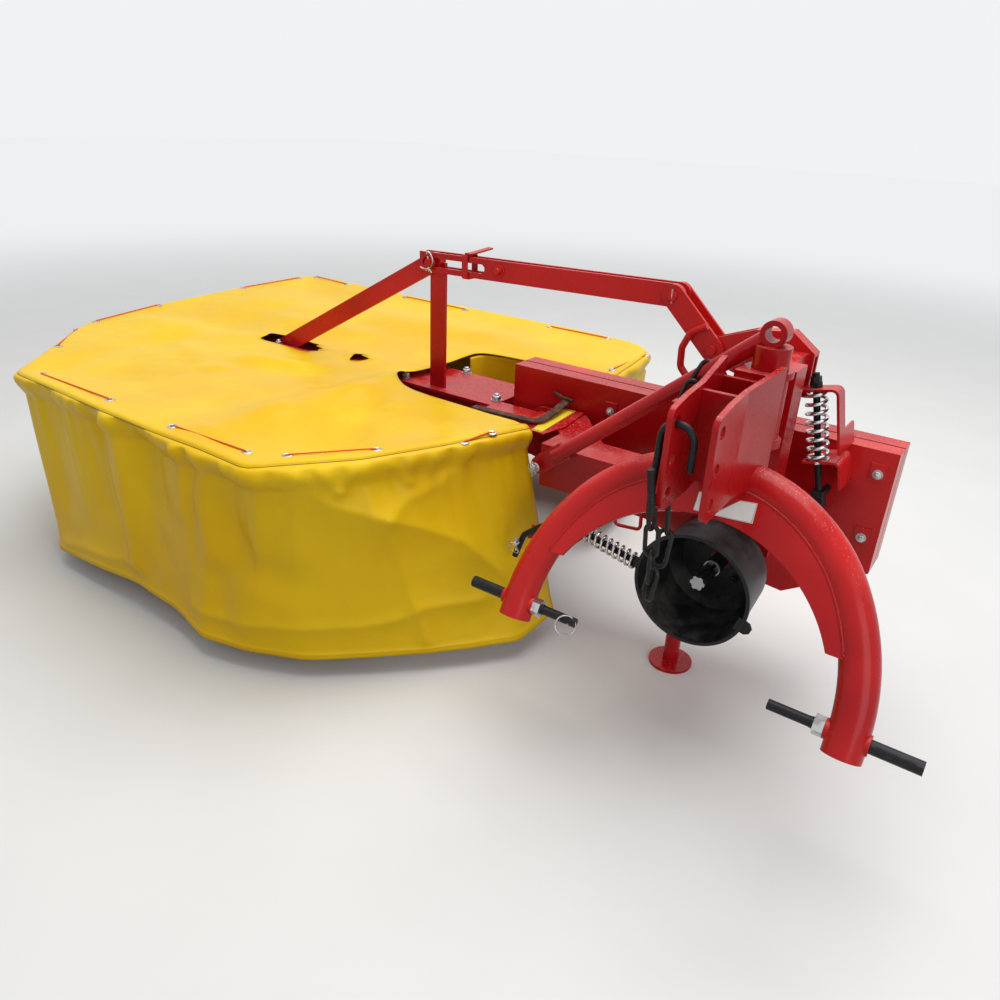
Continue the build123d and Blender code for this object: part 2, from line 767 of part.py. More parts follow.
# Driving shaft: six splines at its end, journal through the housing, driven disc inside the belt guard
with BuildPart() as drive_shaft:
    with BuildSketch(facing(shaft_end_y)):
        for turn in (0, 60, 120):
            with Locations(Location((shaft_x, shaft_z), turn)):
                Rectangle(2 * shaft_r, spline_tooth)
        with Locations((shaft_x, shaft_z)):
            Circle(spline_root_r)
            Circle(shaft_r, mode=Mode.INTERSECT)
    extrude(amount=-spline_length)
    with BuildSketch(facing(shaft_end_y + spline_length)):
        with Locations((shaft_x, shaft_z)):
            Circle(journal_r)
    extrude(amount=-(guard_back - guard_wall - disc_gap - shaft_end_y - spline_length))
    with BuildSketch(facing(guard_front + guard_wall + disc_gap)):
        with Locations((shaft_x, shaft_z)):
            Circle(pulley_r)
    extrude(amount=-(guard_back - guard_front - 2 * guard_wall - 2 * disc_gap))
drive_shaft.part.label = "drive_shaft"
export_step(drive_shaft.part, "parts/drive_shaft.step")

# Round plastic guard around the driving shaft's end
with BuildPart() as shaft_bowl:
    with BuildSketch(beside(shaft_x)):
        with BuildLine():
            Polyline((bowl_mouth_y, shaft_z + bowl_r), (bowl_mouth_y + bowl_lip, shaft_z + bowl_r),
                     (bowl_mouth_y + bowl_lip, shaft_z + bowl_r - bowl_wall),
                     (bowl_back_y - bowl_shoulder, shaft_z + bowl_r - bowl_taper),
                     (bowl_back_y, shaft_z + bowl_r - bowl_back_drop), (bowl_back_y, shaft_z + journal_r + bowl_wall),
                     (bowl_back_y - bowl_wall, shaft_z + journal_r + bowl_wall),
                     (bowl_back_y - bowl_wall, shaft_z + bowl_r - bowl_back_drop - bowl_wall),
                     (bowl_back_y - bowl_shoulder - bowl_wall / 2, shaft_z + bowl_r - bowl_taper - bowl_wall),
                     (bowl_mouth_y, shaft_z + bowl_r - 2 * bowl_wall), close=True)
        make_face()
    revolve(axis=Axis(spot(shaft_x, 0, shaft_z), (0, 1, 0)))
shaft_bowl.part.label = "shaft_bowl"
export_step(shaft_bowl.part, "parts/shaft_bowl.step")

# Parking stand: tube in the beam's sleeve and a round foot
with BuildPart() as stand:
    with BuildSketch(level(0)):
        with Locations((stand_x, stand_y)):
            Circle(foot_r)
    extrude(amount=foot_thick)
    with BuildSketch(level(foot_thick)):
        with Locations((stand_x, stand_y)):
            Circle(stand_r)
    extrude(amount=beam_high - foot_thick + 20)
stand.part.label = "stand"
export_step(stand.part, "parts/stand.step")

# Lift lever: two short bars outside the cheeks, the pin that carries the long bars, and the loop of bent bar
lever_long = Vector(joint_x - lever_x, 0, joint_z - lever_z).length
lever_turn = degrees(atan2(joint_z - lever_z, joint_x - lever_x))
with BuildPart() as lift_lever:
    for y in (lift_y - lever_out, lift_y + lever_in):
        with BuildSketch(facing(y)):
            with Locations((lever_x, lever_z), (joint_x, joint_z)):
                Circle(bar_tall / 2)
            with Locations(Location(((lever_x + joint_x) / 2, (lever_z + joint_z) / 2), lever_turn)):
                Rectangle(lever_long, bar_tall)
            with Locations((lever_x, lever_z)):
                Circle(link_pin_r + king_fit, mode=Mode.SUBTRACT)
        extrude(amount=-bar_thick)
    with BuildSketch(facing(lift_y - pin_half)):
        with Locations((joint_x, joint_z)):
            Circle(link_pin_r)
    extrude(amount=-2 * pin_half)
    with BuildLine(facing(lift_y - lever_out - loop_r + sleeve_gap)) as loop_path:
        FilletPolyline(*loop_bends, radius=loop_bend_r)
    with BuildSketch(Plane(origin=loop_path.line @ 0, z_dir=loop_path.line % 0)):
        Circle(loop_r)
    sweep(path=loop_path.line)
lift_lever.part.label = "lift_lever"
export_step(lift_lever.part, "parts/lift_lever.step")

# Lift link: two long bars from the lever to the lift frame, whose pin slides in their slots
link_long = Vector(joint_x - apex_x, 0, joint_z - apex_z).length
link_turn = degrees(atan2(joint_z - apex_z, joint_x - apex_x))
with BuildPart() as lift_link:
    for y in (lift_y - link_out, lift_y + link_in):
        with BuildSketch(facing(y)):
            with Locations(Location((apex_x, apex_z), link_turn)):
                with Locations(((link_long - link_end) / 2, 0)):
                    Rectangle(link_long + link_end, bar_tall)
                with Locations((link_long, 0)):
                    Circle(bar_tall / 2)
                    Circle(link_pin_r + king_fit, mode=Mode.SUBTRACT)
                with Locations(((slot_inward - slot_outward) / 2, 0)):
                    SlotOverall(slot_inward + slot_outward, slot_wide, mode=Mode.SUBTRACT)
        extrude(amount=-bar_thick)
lift_link.part.label = "lift_link"
export_step(lift_link.part, "parts/lift_link.step")

# Gear head of the cutting unit, which turns on the tilt pin
head_half = (lug_rear_y - lug_front_y - tilt_lug_thick) / 2 - head_gap
head_y = (lug_rear_y + lug_front_y + tilt_lug_thick) / 2
with BuildPart() as gear_head:
    with BuildSketch(facing(head_y - head_half)):
        with Locations((tilt_x, tilt_z)):
            Circle(head_r)
        with Locations(((tilt_x + cut_beam_right) / 2, tilt_z)):
            Rectangle(tilt_x - cut_beam_right, 2 * neck_half)
        with Locations((tilt_x, tilt_z)):
            Circle(tilt_pin_r + king_fit, mode=Mode.SUBTRACT)
    extrude(amount=-2 * head_half)
gear_head.part.label = "gear_head"
export_step(gear_head.part, "parts/gear_head.step")

# Cutting unit's beam with its bolted top plate
with BuildPart() as cutter_beam:
    with BuildSketch(level(cut_beam_low)):
        with BuildLine():
            Polyline((cut_beam_right, head_y - head_half), (cut_beam_right, cut_y + cut_beam_half),
                     (cut_beam_left, cut_y + cut_beam_half), (cut_beam_left - cut_beam_nose, cut_y),
                     (cut_beam_left, cut_y - cut_beam_half), (cut_beam_right - cut_beam_chamfer, cut_y - cut_beam_half),
                     close=True)
        make_face()
    extrude(amount=cut_plate_z - cut_plate_thick - cut_beam_low)
    with BuildSketch(level(cut_plate_z - cut_plate_thick)):
        with Locations(((cut_beam_right + cut_plate_left) / 2, cut_y)):
            Rectangle(cut_beam_right - cut_plate_left, 2 * cut_plate_half)
    extrude(amount=cut_plate_thick)
cutter_beam.part.label = "cutter_beam"
export_step(cutter_beam.part, "parts/cutter_beam.step")

# Lift frame: upright and slanting flat bars side by side on the apex pin
slant_turn = degrees(atan2(apex_z - slant_foot_z, apex_x - slant_foot_x))
slant_long = Vector(apex_x - slant_foot_x, 0, apex_z - slant_foot_z).length
with BuildPart() as lift_frame:
    with BuildSketch(facing(lift_y + bar_gap / 2)):
        with Locations((apex_x + upright_shift, (apex_z + cut_plate_z) / 2)):
            Rectangle(bar_tall, apex_z - cut_plate_z)
        with Locations((apex_x, apex_z)):
            Circle(bar_tall / 2 - bar_gap)
    extrude(amount=-frame_bar_thick)
    with BuildSketch(facing(lift_y - bar_gap / 2 - frame_bar_thick)):
        with Locations(Location(((apex_x + slant_foot_x) / 2, (apex_z + slant_foot_z) / 2), slant_turn)):
            Rectangle(slant_long, bar_tall)
        with Locations((apex_x, apex_z)):
            Circle(bar_tall / 2 - bar_gap)
        with Locations((slant_foot_x, cut_beam_low)):
            Rectangle(4 * bar_tall, 2 * (cut_plate_z - cut_plate_thick - cut_beam_low), mode=Mode.SUBTRACT)
    extrude(amount=-frame_bar_thick)
    with BuildSketch(facing(lift_y - pin_half)):
        with Locations((apex_x, apex_z)):
            Circle(link_pin_r)
    extrude(amount=-2 * pin_half)
lift_frame.part.label = "lift_frame"
export_step(lift_frame.part, "parts/lift_frame.step")

# Tube bent round under the cover's edge, on flat arms that lie on the beam
cut_beam_high = cut_plate_z - cut_plate_thick
hoop_z = cover_top - cover_skin - hoop_gap - hoop_r
hoop_front = min(y for x, y in hoop_bends)
hoop_back = max(y for x, y in hoop_bends)
(near_x, near_y), (far_x, far_y) = hoop_bends[5:7]
hoop_left = near_x + (far_x - near_x) * (cut_y - near_y) / (far_y - near_y)
with BuildPart() as cover_arms:
    with BuildLine(level(hoop_z)) as hoop_path:
        FilletPolyline(*hoop_bends, radius=hoop_bend_r)
    with BuildSketch(Plane(origin=hoop_path.line @ 0, z_dir=hoop_path.line % 0)):
        Circle(hoop_r)
    sweep(path=hoop_path.line)
    with BuildSketch(level(cut_beam_high)):
        with Locations((arm_x, (hoop_front + hoop_back) / 2)):
            Rectangle(arm_wide, hoop_back - hoop_front)
        with Locations(((cut_beam_left + hoop_left) / 2, cut_y)):
            Rectangle(cut_beam_left - hoop_left, arm_wide)
    extrude(amount=arm_thick)
    with BuildSketch(level(cut_beam_high)):
        with Locations((arm_x, hoop_front), (arm_x, hoop_back)):
            Rectangle(arm_wide, hoop_r)
        with Locations((hoop_left, cut_y)):
            Rectangle(hoop_r, arm_wide)
    extrude(amount=hoop_z - cut_beam_high)
cover_arms.part.label = "cover_arms"
export_step(cover_arms.part, "parts/cover_arms.step")

# What the canvas is cut from, its outer form and the room inside, both with the sag of the sheet
canvas_forms = []
for inset in (0, cover_skin):
    with BuildPart() as form:
        with BuildSketch(level(cover_hem)):
            with BuildLine():
                Polyline(*[(hem_x, hem_y) for edge_x, edge_y, hem_x, hem_y in cover_corners], close=True)
            make_face()
            if inset:
                offset(amount=-inset, kind=Kind.INTERSECTION)
        with BuildSketch(level(cover_top - inset)):
            with BuildLine():
                Polyline(*[(edge_x, edge_y) for edge_x, edge_y, hem_x, hem_y in cover_corners], close=True)
            make_face()
            if inset:
                offset(amount=-inset, kind=Kind.INTERSECTION)
        loft(ruled=True)
        with BuildSketch(level(cover_top - inset)):
            with BuildLine():
                Polyline(*[(rim_x, rim_y) for rim_x, rim_y, low_x, low_y in sag_corners], close=True)
            make_face()
        with BuildSketch(level(cover_top - inset - cover_sag)):
            with BuildLine():
                Polyline(*[(low_x, low_y) for rim_x, rim_y, low_x, low_y in sag_corners], close=True)
            make_face()
        loft(ruled=True, mode=Mode.SUBTRACT)
    canvas_forms.append(form.part)

# Canvas cover: sagging top sheet with its notch and slit, and the skirt all round
with BuildPart() as cover:
    add(canvas_forms[0])
    add(canvas_forms[1], mode=Mode.SUBTRACT)
    with BuildSketch(level(cover_hem)):
        with BuildLine():
            Polyline(*notch_plan, close=True)
        make_face()
    extrude(amount=cover_top - cover_hem, mode=Mode.SUBTRACT)
    with BuildSketch(level(cover_top - cover_skin - cover_sag)):
        with Locations((slit_x, lift_y)):
            Rectangle(slit_long, slit_wide)
    extrude(amount=cover_skin + cover_sag, mode=Mode.SUBTRACT)
cover.part.label = "cover"
export_step(cover.part, "parts/cover.step")

# Drums with their cutting discs, blades and sliding discs
for name, x, turn in (("inner", cut_x + drum_gap / 2, 0), ("outer", cut_x - drum_gap / 2, 60)):
    with BuildPart() as axle:
        with BuildSketch(level(skid_height - axle_seat)):
            with Locations((x, cut_y)):
                Circle(axle_r)
        extrude(amount=cut_beam_low - skid_height + axle_seat)
    axle.part.label = "axle_" + name
    export_step(axle.part, "parts/axle_" + name + ".step")
    with BuildPart() as drum:
        with BuildSketch(Plane(origin=spot(x, cut_y, 0), x_dir=(1, 0, 0), z_dir=(0, -1, 0))):
            with BuildLine():
                Polyline((axle_r + axle_fit, disc_z), (disc_r, disc_z), (disc_r, disc_z + disc_edge),
                         (drum_foot_r, disc_z + drum_foot_rise), (drum_r, disc_z + drum_neck_rise), (drum_r, drum_top),
                         (axle_r + axle_fit, drum_top), close=True)
            make_face()
        revolve(axis=Axis(spot(x, cut_y, 0), (0, 0, 1)))
    drum.part.label = "drum_" + name
    export_step(drum.part, "parts/drum_" + name + ".step")
    with BuildPart() as blades:
        for i in range(3):
            with BuildSketch(level(blade_z)):
                with Locations(Location((x, cut_y), turn + 120 * i)):
                    with Locations(((disc_r - blade_root + blade_tip_r) / 2, 0)):
                        Rectangle(blade_tip_r - disc_r + blade_root, blade_wide)
            extrude(amount=blade_thick)
            with BuildSketch(level(blade_z + blade_thick)):
                with Locations(Location((x, cut_y), turn + 120 * i)):
                    with Locations((disc_r - blade_bolt_in, 0)):
                        Circle(blade_bolt_r)
            extrude(amount=disc_z - blade_z - blade_thick)
    blades.part.label = "blades_" + name
    export_step(blades.part, "parts/blades_" + name + ".step")
    with BuildPart() as skid:
        with BuildSketch(Plane(origin=spot(x, cut_y, 0), x_dir=(1, 0, 0), z_dir=(0, -1, 0))):
            with BuildLine():
                Polyline((0, 0), (skid_sole_r, 0), (skid_r, skid_height - skid_edge), (skid_r, skid_height),
                         (axle_r + axle_fit, skid_height), (axle_r + axle_fit, skid_floor), (0, skid_floor), close=True)
            make_face()
        revolve(axis=Axis(spot(x, cut_y, 0), (0, 0, 1)))
    skid.part.label = "skid_" + name
    export_step(skid.part, "parts/skid_" + name + ".step")
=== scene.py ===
import bmesh
import bpy
import numpy as np
from mathutils import Matrix


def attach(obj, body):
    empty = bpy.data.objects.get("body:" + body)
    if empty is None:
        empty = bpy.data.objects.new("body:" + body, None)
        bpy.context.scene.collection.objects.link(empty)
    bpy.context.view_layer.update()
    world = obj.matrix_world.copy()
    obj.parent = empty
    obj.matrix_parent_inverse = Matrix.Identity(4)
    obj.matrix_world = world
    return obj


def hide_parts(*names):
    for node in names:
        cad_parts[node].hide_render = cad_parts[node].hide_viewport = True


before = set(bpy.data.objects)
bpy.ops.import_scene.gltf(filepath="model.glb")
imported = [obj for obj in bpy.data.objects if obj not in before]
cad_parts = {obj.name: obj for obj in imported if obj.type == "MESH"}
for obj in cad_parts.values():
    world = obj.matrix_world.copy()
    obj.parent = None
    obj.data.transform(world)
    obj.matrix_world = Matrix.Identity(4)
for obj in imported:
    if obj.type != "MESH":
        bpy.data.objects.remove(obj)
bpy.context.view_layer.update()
hitchPoint = np.array([1.0115, -0.547, 0.0])  # ground point midway between the lower link pins
print("frame loaded:", len(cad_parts), "nodes")


def fromHitch(points):
    # millimetres measured from the hitch point become metres in the frame
    return np.asarray(points, float) * 0.001 + hitchPoint


# camera, at the photograph's place
cameraSettings = {"place": (1.4943, -1.8938, 1.3736), "lens": 28.83}
right = np.array([0.81273622, 0.58121242, 0.04064437])
down = np.array([0.28188273, -0.33119939, -0.90047159])
ahead = np.array([-0.50990388, 0.74330282, -0.43301148])
cameraPose = np.eye(4)
cameraPose[:3, :3] = np.stack([right, -down, -ahead], axis=1)
cameraPose[:3, 3] = cameraSettings["place"]
cameraData = bpy.data.cameras.new("camera")
cameraData.lens = cameraSettings["lens"]
cameraData.sensor_width = 36
cameraData.clip_start = 0.05
cameraData.clip_end = 100
camera = bpy.data.objects.new("camera", cameraData)
camera.matrix_world = Matrix(cameraPose.tolist())
bpy.context.scene.collection.objects.link(camera)
bpy.context.scene.camera = camera
print("camera placed")


class Wire:
    # a node socket with arithmetic: an expression on values adds its Math nodes

    def __init__(self, tree, socket=None):
        self.tree, self.socket = tree, socket

    def node(self, kind, settings, sockets, output=0):
        # adds a node, sets it up, feeds its sockets with values or wires, and gives the wanted output
        made = self.tree.nodes.new(kind)
        for key, value in settings.items():
            if key == "stops":
                ramp = made.color_ramp
                while len(ramp.elements) < len(value):
                    ramp.elements.new(0.5)
                for element, (position, colour) in zip(ramp.elements, value):
                    element.position = position
                    element.color = (*colour, 1) if len(colour) == 3 else colour
            else:
                setattr(made, key, value)
        for key, value in sockets.items():
            if isinstance(value, Wire):
                self.tree.links.new(value.socket, made.inputs[key])
            else:
                made.inputs[key].default_value = value
        return Wire(self.tree, made.outputs[output] if len(made.outputs) else None)

    def calc(self, operation, first, second=0.0, third=0.0):
        return self.node("ShaderNodeMath", {"operation": operation}, {0: first, 1: second, 2: third})

    def __add__(self, other):
        return self.calc("ADD", self, other)

    def __radd__(self, other):
        return self.calc("ADD", other, self)

    def __sub__(self, other):
        return self.calc("SUBTRACT", self, other)

    def __rsub__(self, other):
        return self.calc("SUBTRACT", other, self)

    def __mul__(self, other):
        return self.calc("MULTIPLY", self, other)

    def __rmul__(self, other):
        return self.calc("MULTIPLY", other, self)

    def __pow__(self, other):
        return self.calc("POWER", self, other)


def smooth(wire, low, high):
    # 0 below low, 1 above high, an S-curve between them
    return wire.node("ShaderNodeMapRange", {"interpolation_type": "SMOOTHSTEP"},
                     {"Value": wire, "From Min": low, "From Max": high})


def mixColour(wire, factor, first, second):
    return wire.node("ShaderNodeMix", {"data_type": "RGBA"}, {0: factor, 6: first, 7: second}, 2)


def noise(wire, coords, scale, detail=2.0, rough=0.5):
    return wire.node("ShaderNodeTexNoise", {}, {"Vector": coords, "Scale": scale, "Detail": detail, "Roughness": rough})


def startMaterial(name):
    material = bpy.data.materials.new(name)
    material.use_nodes = True
    material.node_tree.nodes.clear()
    wire = Wire(material.node_tree)
    coords = wire.node("ShaderNodeTexCoord", {}, {}, "Object")
    return material, wire, coords


def endMaterial(wire, sockets):
    # gloss is kept low, because the bright background shows in it
    shader = wire.node("ShaderNodeBsdfPrincipled", {}, {"Specular IOR Level": 0.2, **sockets})
    wire.node("ShaderNodeOutputMaterial", {}, {"Surface": shader})


def roundedEdges(wire, radius):
    return wire.node("ShaderNodeBevel", {"samples": 4}, {"Radius": radius})


def upward(wire):
    # how much the surface faces the sky
    normal = wire.node("ShaderNodeNewGeometry", {}, {}, "Normal")
    return wire.node("ShaderNodeSeparateXYZ", {}, {0: normal}, 2)


redPaintLook = {"deep": (0.40, 0.004, 0.007, 1), "bright": (0.60, 0.014, 0.013, 1), "dust": (0.62, 0.28, 0.23, 1),
                "speck": (0.86, 0.50, 0.44, 1), "edge": 0.0016}


def redPaint():
    material, wire, coords = startMaterial("redPaint")
    cloud = noise(wire, coords, 2.6, 3.0)
    patch = noise(wire, coords, 11.0, 5.0, 0.6)
    up = smooth(upward(wire), 0.55, 0.95)
    colour = mixColour(wire, smooth(cloud, 0.35, 0.68), redPaintLook["deep"], redPaintLook["bright"])
    dusty = up * smooth(patch, 0.42, 0.75) * 0.30
    colour = mixColour(wire, dusty, colour, redPaintLook["dust"])
    cells = wire.node("ShaderNodeTexVoronoi", {"feature": "F1"}, {"Vector": coords, "Scale": 190.0})
    pick = wire.node("ShaderNodeTexWhiteNoise", {"noise_dimensions": "3D"},
                     {"Vector": wire.node("ShaderNodeTexVoronoi", {}, {"Vector": coords, "Scale": 190.0}, "Position")})
    speck = (1.0 - smooth(cells, 0.12, 0.26)) * smooth(pick, 0.45, 0.55) * up
    colour = mixColour(wire, speck * 0.8, colour, redPaintLook["speck"])
    peel = noise(wire, coords, 420.0, 2.0)
    dent = noise(wire, coords, 26.0, 2.0)
    bump = wire.node("ShaderNodeBump", {}, {"Strength": 0.06, "Distance": 0.002, "Height": peel + dent * 2.0,
                                            "Normal": roundedEdges(wire, redPaintLook["edge"])})
    rough = 0.20 + patch * 0.14 + dusty * 0.9 + speck * 0.2
    endMaterial(wire, {"Base Color": colour, "Roughness": rough, "Normal": bump, "IOR": 1.5,
                       "Coat Weight": 0.1, "Coat Roughness": 0.08})
    return material


blackSteelLook = {"base": (0.018, 0.018, 0.02, 1), "worn": (0.11, 0.105, 0.10, 1), "edge": 0.001}


def blackSteel():
    material, wire, coords = startMaterial("blackSteel")
    patch = noise(wire, coords, 38.0, 6.0, 0.65)
    long = wire.node("ShaderNodeMapping", {}, {"Vector": coords, "Scale": (14.0, 260.0, 260.0)})
    scratch = noise(wire, long, 1.0, 3.0, 0.7)
    worn = smooth(scratch * 0.6 + patch * 0.4, 0.54, 0.72)
    colour = mixColour(wire, worn, blackSteelLook["base"], blackSteelLook["worn"])
    bump = wire.node("ShaderNodeBump", {}, {"Strength": 0.12, "Distance": 0.001, "Height": scratch + patch,
                                            "Normal": roundedEdges(wire, blackSteelLook["edge"])})
    endMaterial(wire, {"Base Color": colour, "Roughness": 0.34 + worn * 0.25, "Metallic": 0.25 + worn * 0.6, "Normal": bump})
    return material


zincLook = {"base": (0.56, 0.57, 0.58, 1), "dull": (0.34, 0.33, 0.31, 1), "edge": 0.0006}


def zincPlate():
    material, wire, coords = startMaterial("zincPlate")
    patch = noise(wire, coords, 60.0, 5.0, 0.6)
    bloom = noise(wire, coords, 240.0, 2.0)
    colour = mixColour(wire, smooth(patch, 0.42, 0.66), zincLook["base"], zincLook["dull"])
    bump = wire.node("ShaderNodeBump", {}, {"Strength": 0.08, "Distance": 0.0006, "Height": bloom,
                                            "Normal": roundedEdges(wire, zincLook["edge"])})
    endMaterial(wire, {"Base Color": colour, "Metallic": 1.0, "Roughness": 0.24 + patch * 0.28, "Normal": bump})
    return material


springLook = {"base": (0.66, 0.67, 0.69, 1), "shade": (0.38, 0.38, 0.39, 1)}


def springSteel():
    material, wire, coords = startMaterial("springSteel")
    patch = noise(wire, coords, 90.0, 4.0, 0.6)
    colour = mixColour(wire, smooth(patch, 0.45, 0.7), springLook["base"], springLook["shade"])
    endMaterial(wire, {"Base Color": colour, "Metallic": 1.0, "Roughness": 0.16 + patch * 0.18})
    return material


plasticLook = {"base": (0.012, 0.012, 0.014, 1), "dust": (0.16, 0.15, 0.135, 1)}


def blackPlastic():
    material, wire, coords = startMaterial("blackPlastic")
    grain = noise(wire, coords, 700.0, 2.0)
    patch = noise(wire, coords, 14.0, 6.0, 0.65)
    up = smooth(upward(wire), -0.1, 0.9)
    dusty = smooth(patch, 0.40, 0.72) * (0.10 + up * 0.35)
    colour = mixColour(wire, dusty, plasticLook["base"], plasticLook["dust"])
    bump = wire.node("ShaderNodeBump", {}, {"Strength": 0.20, "Distance": 0.0006, "Height": grain,
                                            "Normal": roundedEdges(wire, 0.0015)})
    endMaterial(wire, {"Base Color": colour, "Roughness": 0.36 + dusty * 0.5, "Normal": bump})
    return material


rustLook = {"dark": (0.050, 0.026, 0.018, 1), "light": (0.16, 0.075, 0.042, 1)}


def brownSteel():
    material, wire, coords = startMaterial("brownSteel")
    patch = noise(wire, coords, 46.0, 8.0, 0.7)
    colour = mixColour(wire, smooth(patch, 0.40, 0.66), rustLook["dark"], rustLook["light"])
    bump = wire.node("ShaderNodeBump", {}, {"Strength": 0.35, "Distance": 0.0012, "Height": patch,
                                            "Normal": roundedEdges(wire, 0.0012)})
    endMaterial(wire, {"Base Color": colour, "Roughness": 0.55 + patch * 0.2, "Metallic": 0.3, "Normal": bump})
    return material


steelLook = {"base": (0.30, 0.30, 0.31, 1), "rust": (0.20, 0.10, 0.055, 1)}


def bareSteel():
    material, wire, coords = startMaterial("bareSteel")
    patch = noise(wire, coords, 9.0, 8.0, 0.65)
    fine = noise(wire, coords, 120.0, 4.0)
    rust = smooth(patch, 0.52, 0.72)
    colour = mixColour(wire, rust, steelLook["base"], steelLook["rust"])
    bump = wire.node("ShaderNodeBump", {}, {"Strength": 0.15, "Distance": 0.001, "Height": fine,
                                            "Normal": roundedEdges(wire, 0.001)})
    endMaterial(wire, {"Base Color": colour, "Metallic": 1.0 - rust * 0.8, "Roughness": 0.30 + rust * 0.4 + fine * 0.1,
                       "Normal": bump})
    return material


# "pale" is a painted highlight colour, laid only on the upward faces of the sheet
canvasLook = {"top": (0.82, 0.530, 0.008, 1), "pale": (0.87, 0.63, 0.05, 1), "deep": (0.77, 0.455, 0.005, 1),
              "stitch": (0.05, 0.035, 0.012, 1), "weave": 1500.0}


def yellowCanvas():
    material, wire, coords = startMaterial("yellowCanvas")
    mapped = wire.node("ShaderNodeUVMap", {"uv_map": "cloth"}, {})
    apart = wire.node("ShaderNodeSeparateXYZ", {}, {0: mapped}, 0)
    across = wire.node("ShaderNodeSeparateXYZ", {}, {0: mapped}, 1)
    cloud = noise(wire, coords, 1.7, 4.0, 0.55)
    patch = noise(wire, coords, 7.0, 6.0, 0.62)
    grime = noise(wire, coords, 38.0, 5.0, 0.7)
    up = smooth(upward(wire), 0.3, 0.95)
    colour = mixColour(wire, smooth(cloud, 0.36, 0.66), canvasLook["deep"], canvasLook["top"])
    # painted highlight: lighter yellow patches only on upward faces, standing in for sky light on the sheet's top
    colour = mixColour(wire, smooth(patch, 0.50, 0.80) * up * 0.40, colour, canvasLook["pale"])
    dirt = smooth(grime, 0.60, 0.80) * 0.16
    colour = mixColour(wire, dirt, colour, (0.36, 0.20, 0.03, 1))
    beside = wire.calc("ABSOLUTE", across + 0.0135)
    stitched = (1.0 - smooth(beside, 0.0008, 0.0022)) * 0.85
    colour = mixColour(wire, stitched, colour, canvasLook["stitch"])
    threads = wire.calc("SINE", apart * canvasLook["weave"] * 2.0) + wire.calc("SINE", across * canvasLook["weave"] * 2.0)
    bent = wire.node("ShaderNodeVectorMath", {"operation": "ADD"}, {0: coords, 1: noise(wire, coords, 1.6, 1.0) * 0.14})
    crumple = wire.node("ShaderNodeTexVoronoi", {"feature": "DISTANCE_TO_EDGE"}, {"Vector": bent, "Scale": 6.5})
    creased = noise(wire, coords, 16.0, 6.0, 0.55) * 0.8 - (1.0 - smooth(crumple, 0.0, 0.22)) * 0.42
    fine = wire.node("ShaderNodeBump", {}, {"Strength": 0.05, "Distance": 0.0004, "Height": threads})
    soft = wire.node("ShaderNodeBump", {}, {"Strength": 0.3, "Distance": 0.007, "Height": creased, "Normal": fine})
    endMaterial(wire, {"Base Color": colour, "Roughness": 0.30 + patch * 0.16 + dirt, "Normal": soft, "IOR": 1.45})
    return material


def laceRubber():
    material, wire, coords = startMaterial("laceRubber")
    mapped = wire.node("ShaderNodeUVMap", {"uv_map": "cloth"}, {})
    along = wire.node("ShaderNodeSeparateXYZ", {}, {0: mapped}, 0)
    round = wire.node("ShaderNodeSeparateXYZ", {}, {0: mapped}, 1)
    braid = wire.calc("SINE", along * 2600.0 + round * 12.566) * wire.calc("SINE", along * 2600.0 - round * 12.566)
    colour = mixColour(wire, smooth(braid, -0.5, 0.6), (0.55, 0.055, 0.012, 1), (0.85, 0.16, 0.05, 1))
    bump = wire.node("ShaderNodeBump", {}, {"Strength": 0.3, "Distance": 0.0006, "Height": braid})
    endMaterial(wire, {"Base Color": colour, "Roughness": 0.55, "Normal": bump})
    return material


def blankLabel(name, ground, rim):
    material, wire, coords = startMaterial(name)
    patch = noise(wire, coords, 60.0, 5.0, 0.6)
    colour = mixColour(wire, smooth(patch, 0.55, 0.8) * 0.25, ground, (0.45, 0.40, 0.30, 1))
    mapped = wire.node("ShaderNodeUVMap", {"uv_map": "cloth"}, {})
    across = wire.node("ShaderNodeSeparateXYZ", {}, {0: mapped}, 0)
    upwards = wire.node("ShaderNodeSeparateXYZ", {}, {0: mapped}, 1)
    near = wire.calc("MAXIMUM", wire.calc("ABSOLUTE", across - 0.5), wire.calc("ABSOLUTE", upwards - 0.5))
    colour = mixColour(wire, smooth(near, 0.455, 0.465) * (1.0 - smooth(near, 0.475, 0.485)), colour, rim)
    endMaterial(wire, {"Base Color": colour, "Roughness": 0.28 + patch * 0.15})
    return material


looks = {"redPaint": redPaint(), "blackSteel": blackSteel(), "zincPlate": zincPlate(), "springSteel": springSteel(),
         "blackPlastic": blackPlastic(), "brownSteel": brownSteel(), "bareSteel": bareSteel(),
         "yellowCanvas": yellowCanvas(), "laceRubber": laceRubber(),
         "whiteLabel": blankLabel("whiteLabel", (0.78, 0.77, 0.74, 1), (0.30, 0.30, 0.30, 1)),
         "yellowLabel": blankLabel("yellowLabel", (0.86, 0.62, 0.03, 1), (0.02, 0.02, 0.02, 1))}
print("materials made:", len(looks))

# finish of each node that comes from the frame; whatever isn't listed is red paint
nodeLooks = {"link_pins": "blackSteel", "pin_nuts": "zincPlate", "king_pin": "bareSteel", "tensioner_rod": "blackSteel",
             "tensioner_spring": "springSteel", "release_rod": "blackSteel", "release_spring": "springSteel",
             "shaft_bowl": "blackPlastic", "drive_shaft": "bareSteel", "axle_inner": "bareSteel", "axle_outer": "bareSteel",
             "blades_inner": "bareSteel", "blades_outer": "bareSteel", "skid_inner": "bareSteel", "skid_outer": "bareSteel",
             "cover": "yellowCanvas"}
for name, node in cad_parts.items():
    node.data.materials.clear()
    node.data.materials.append(looks[nodeLooks.get(name, "redPaint")])
print("nodes finished")


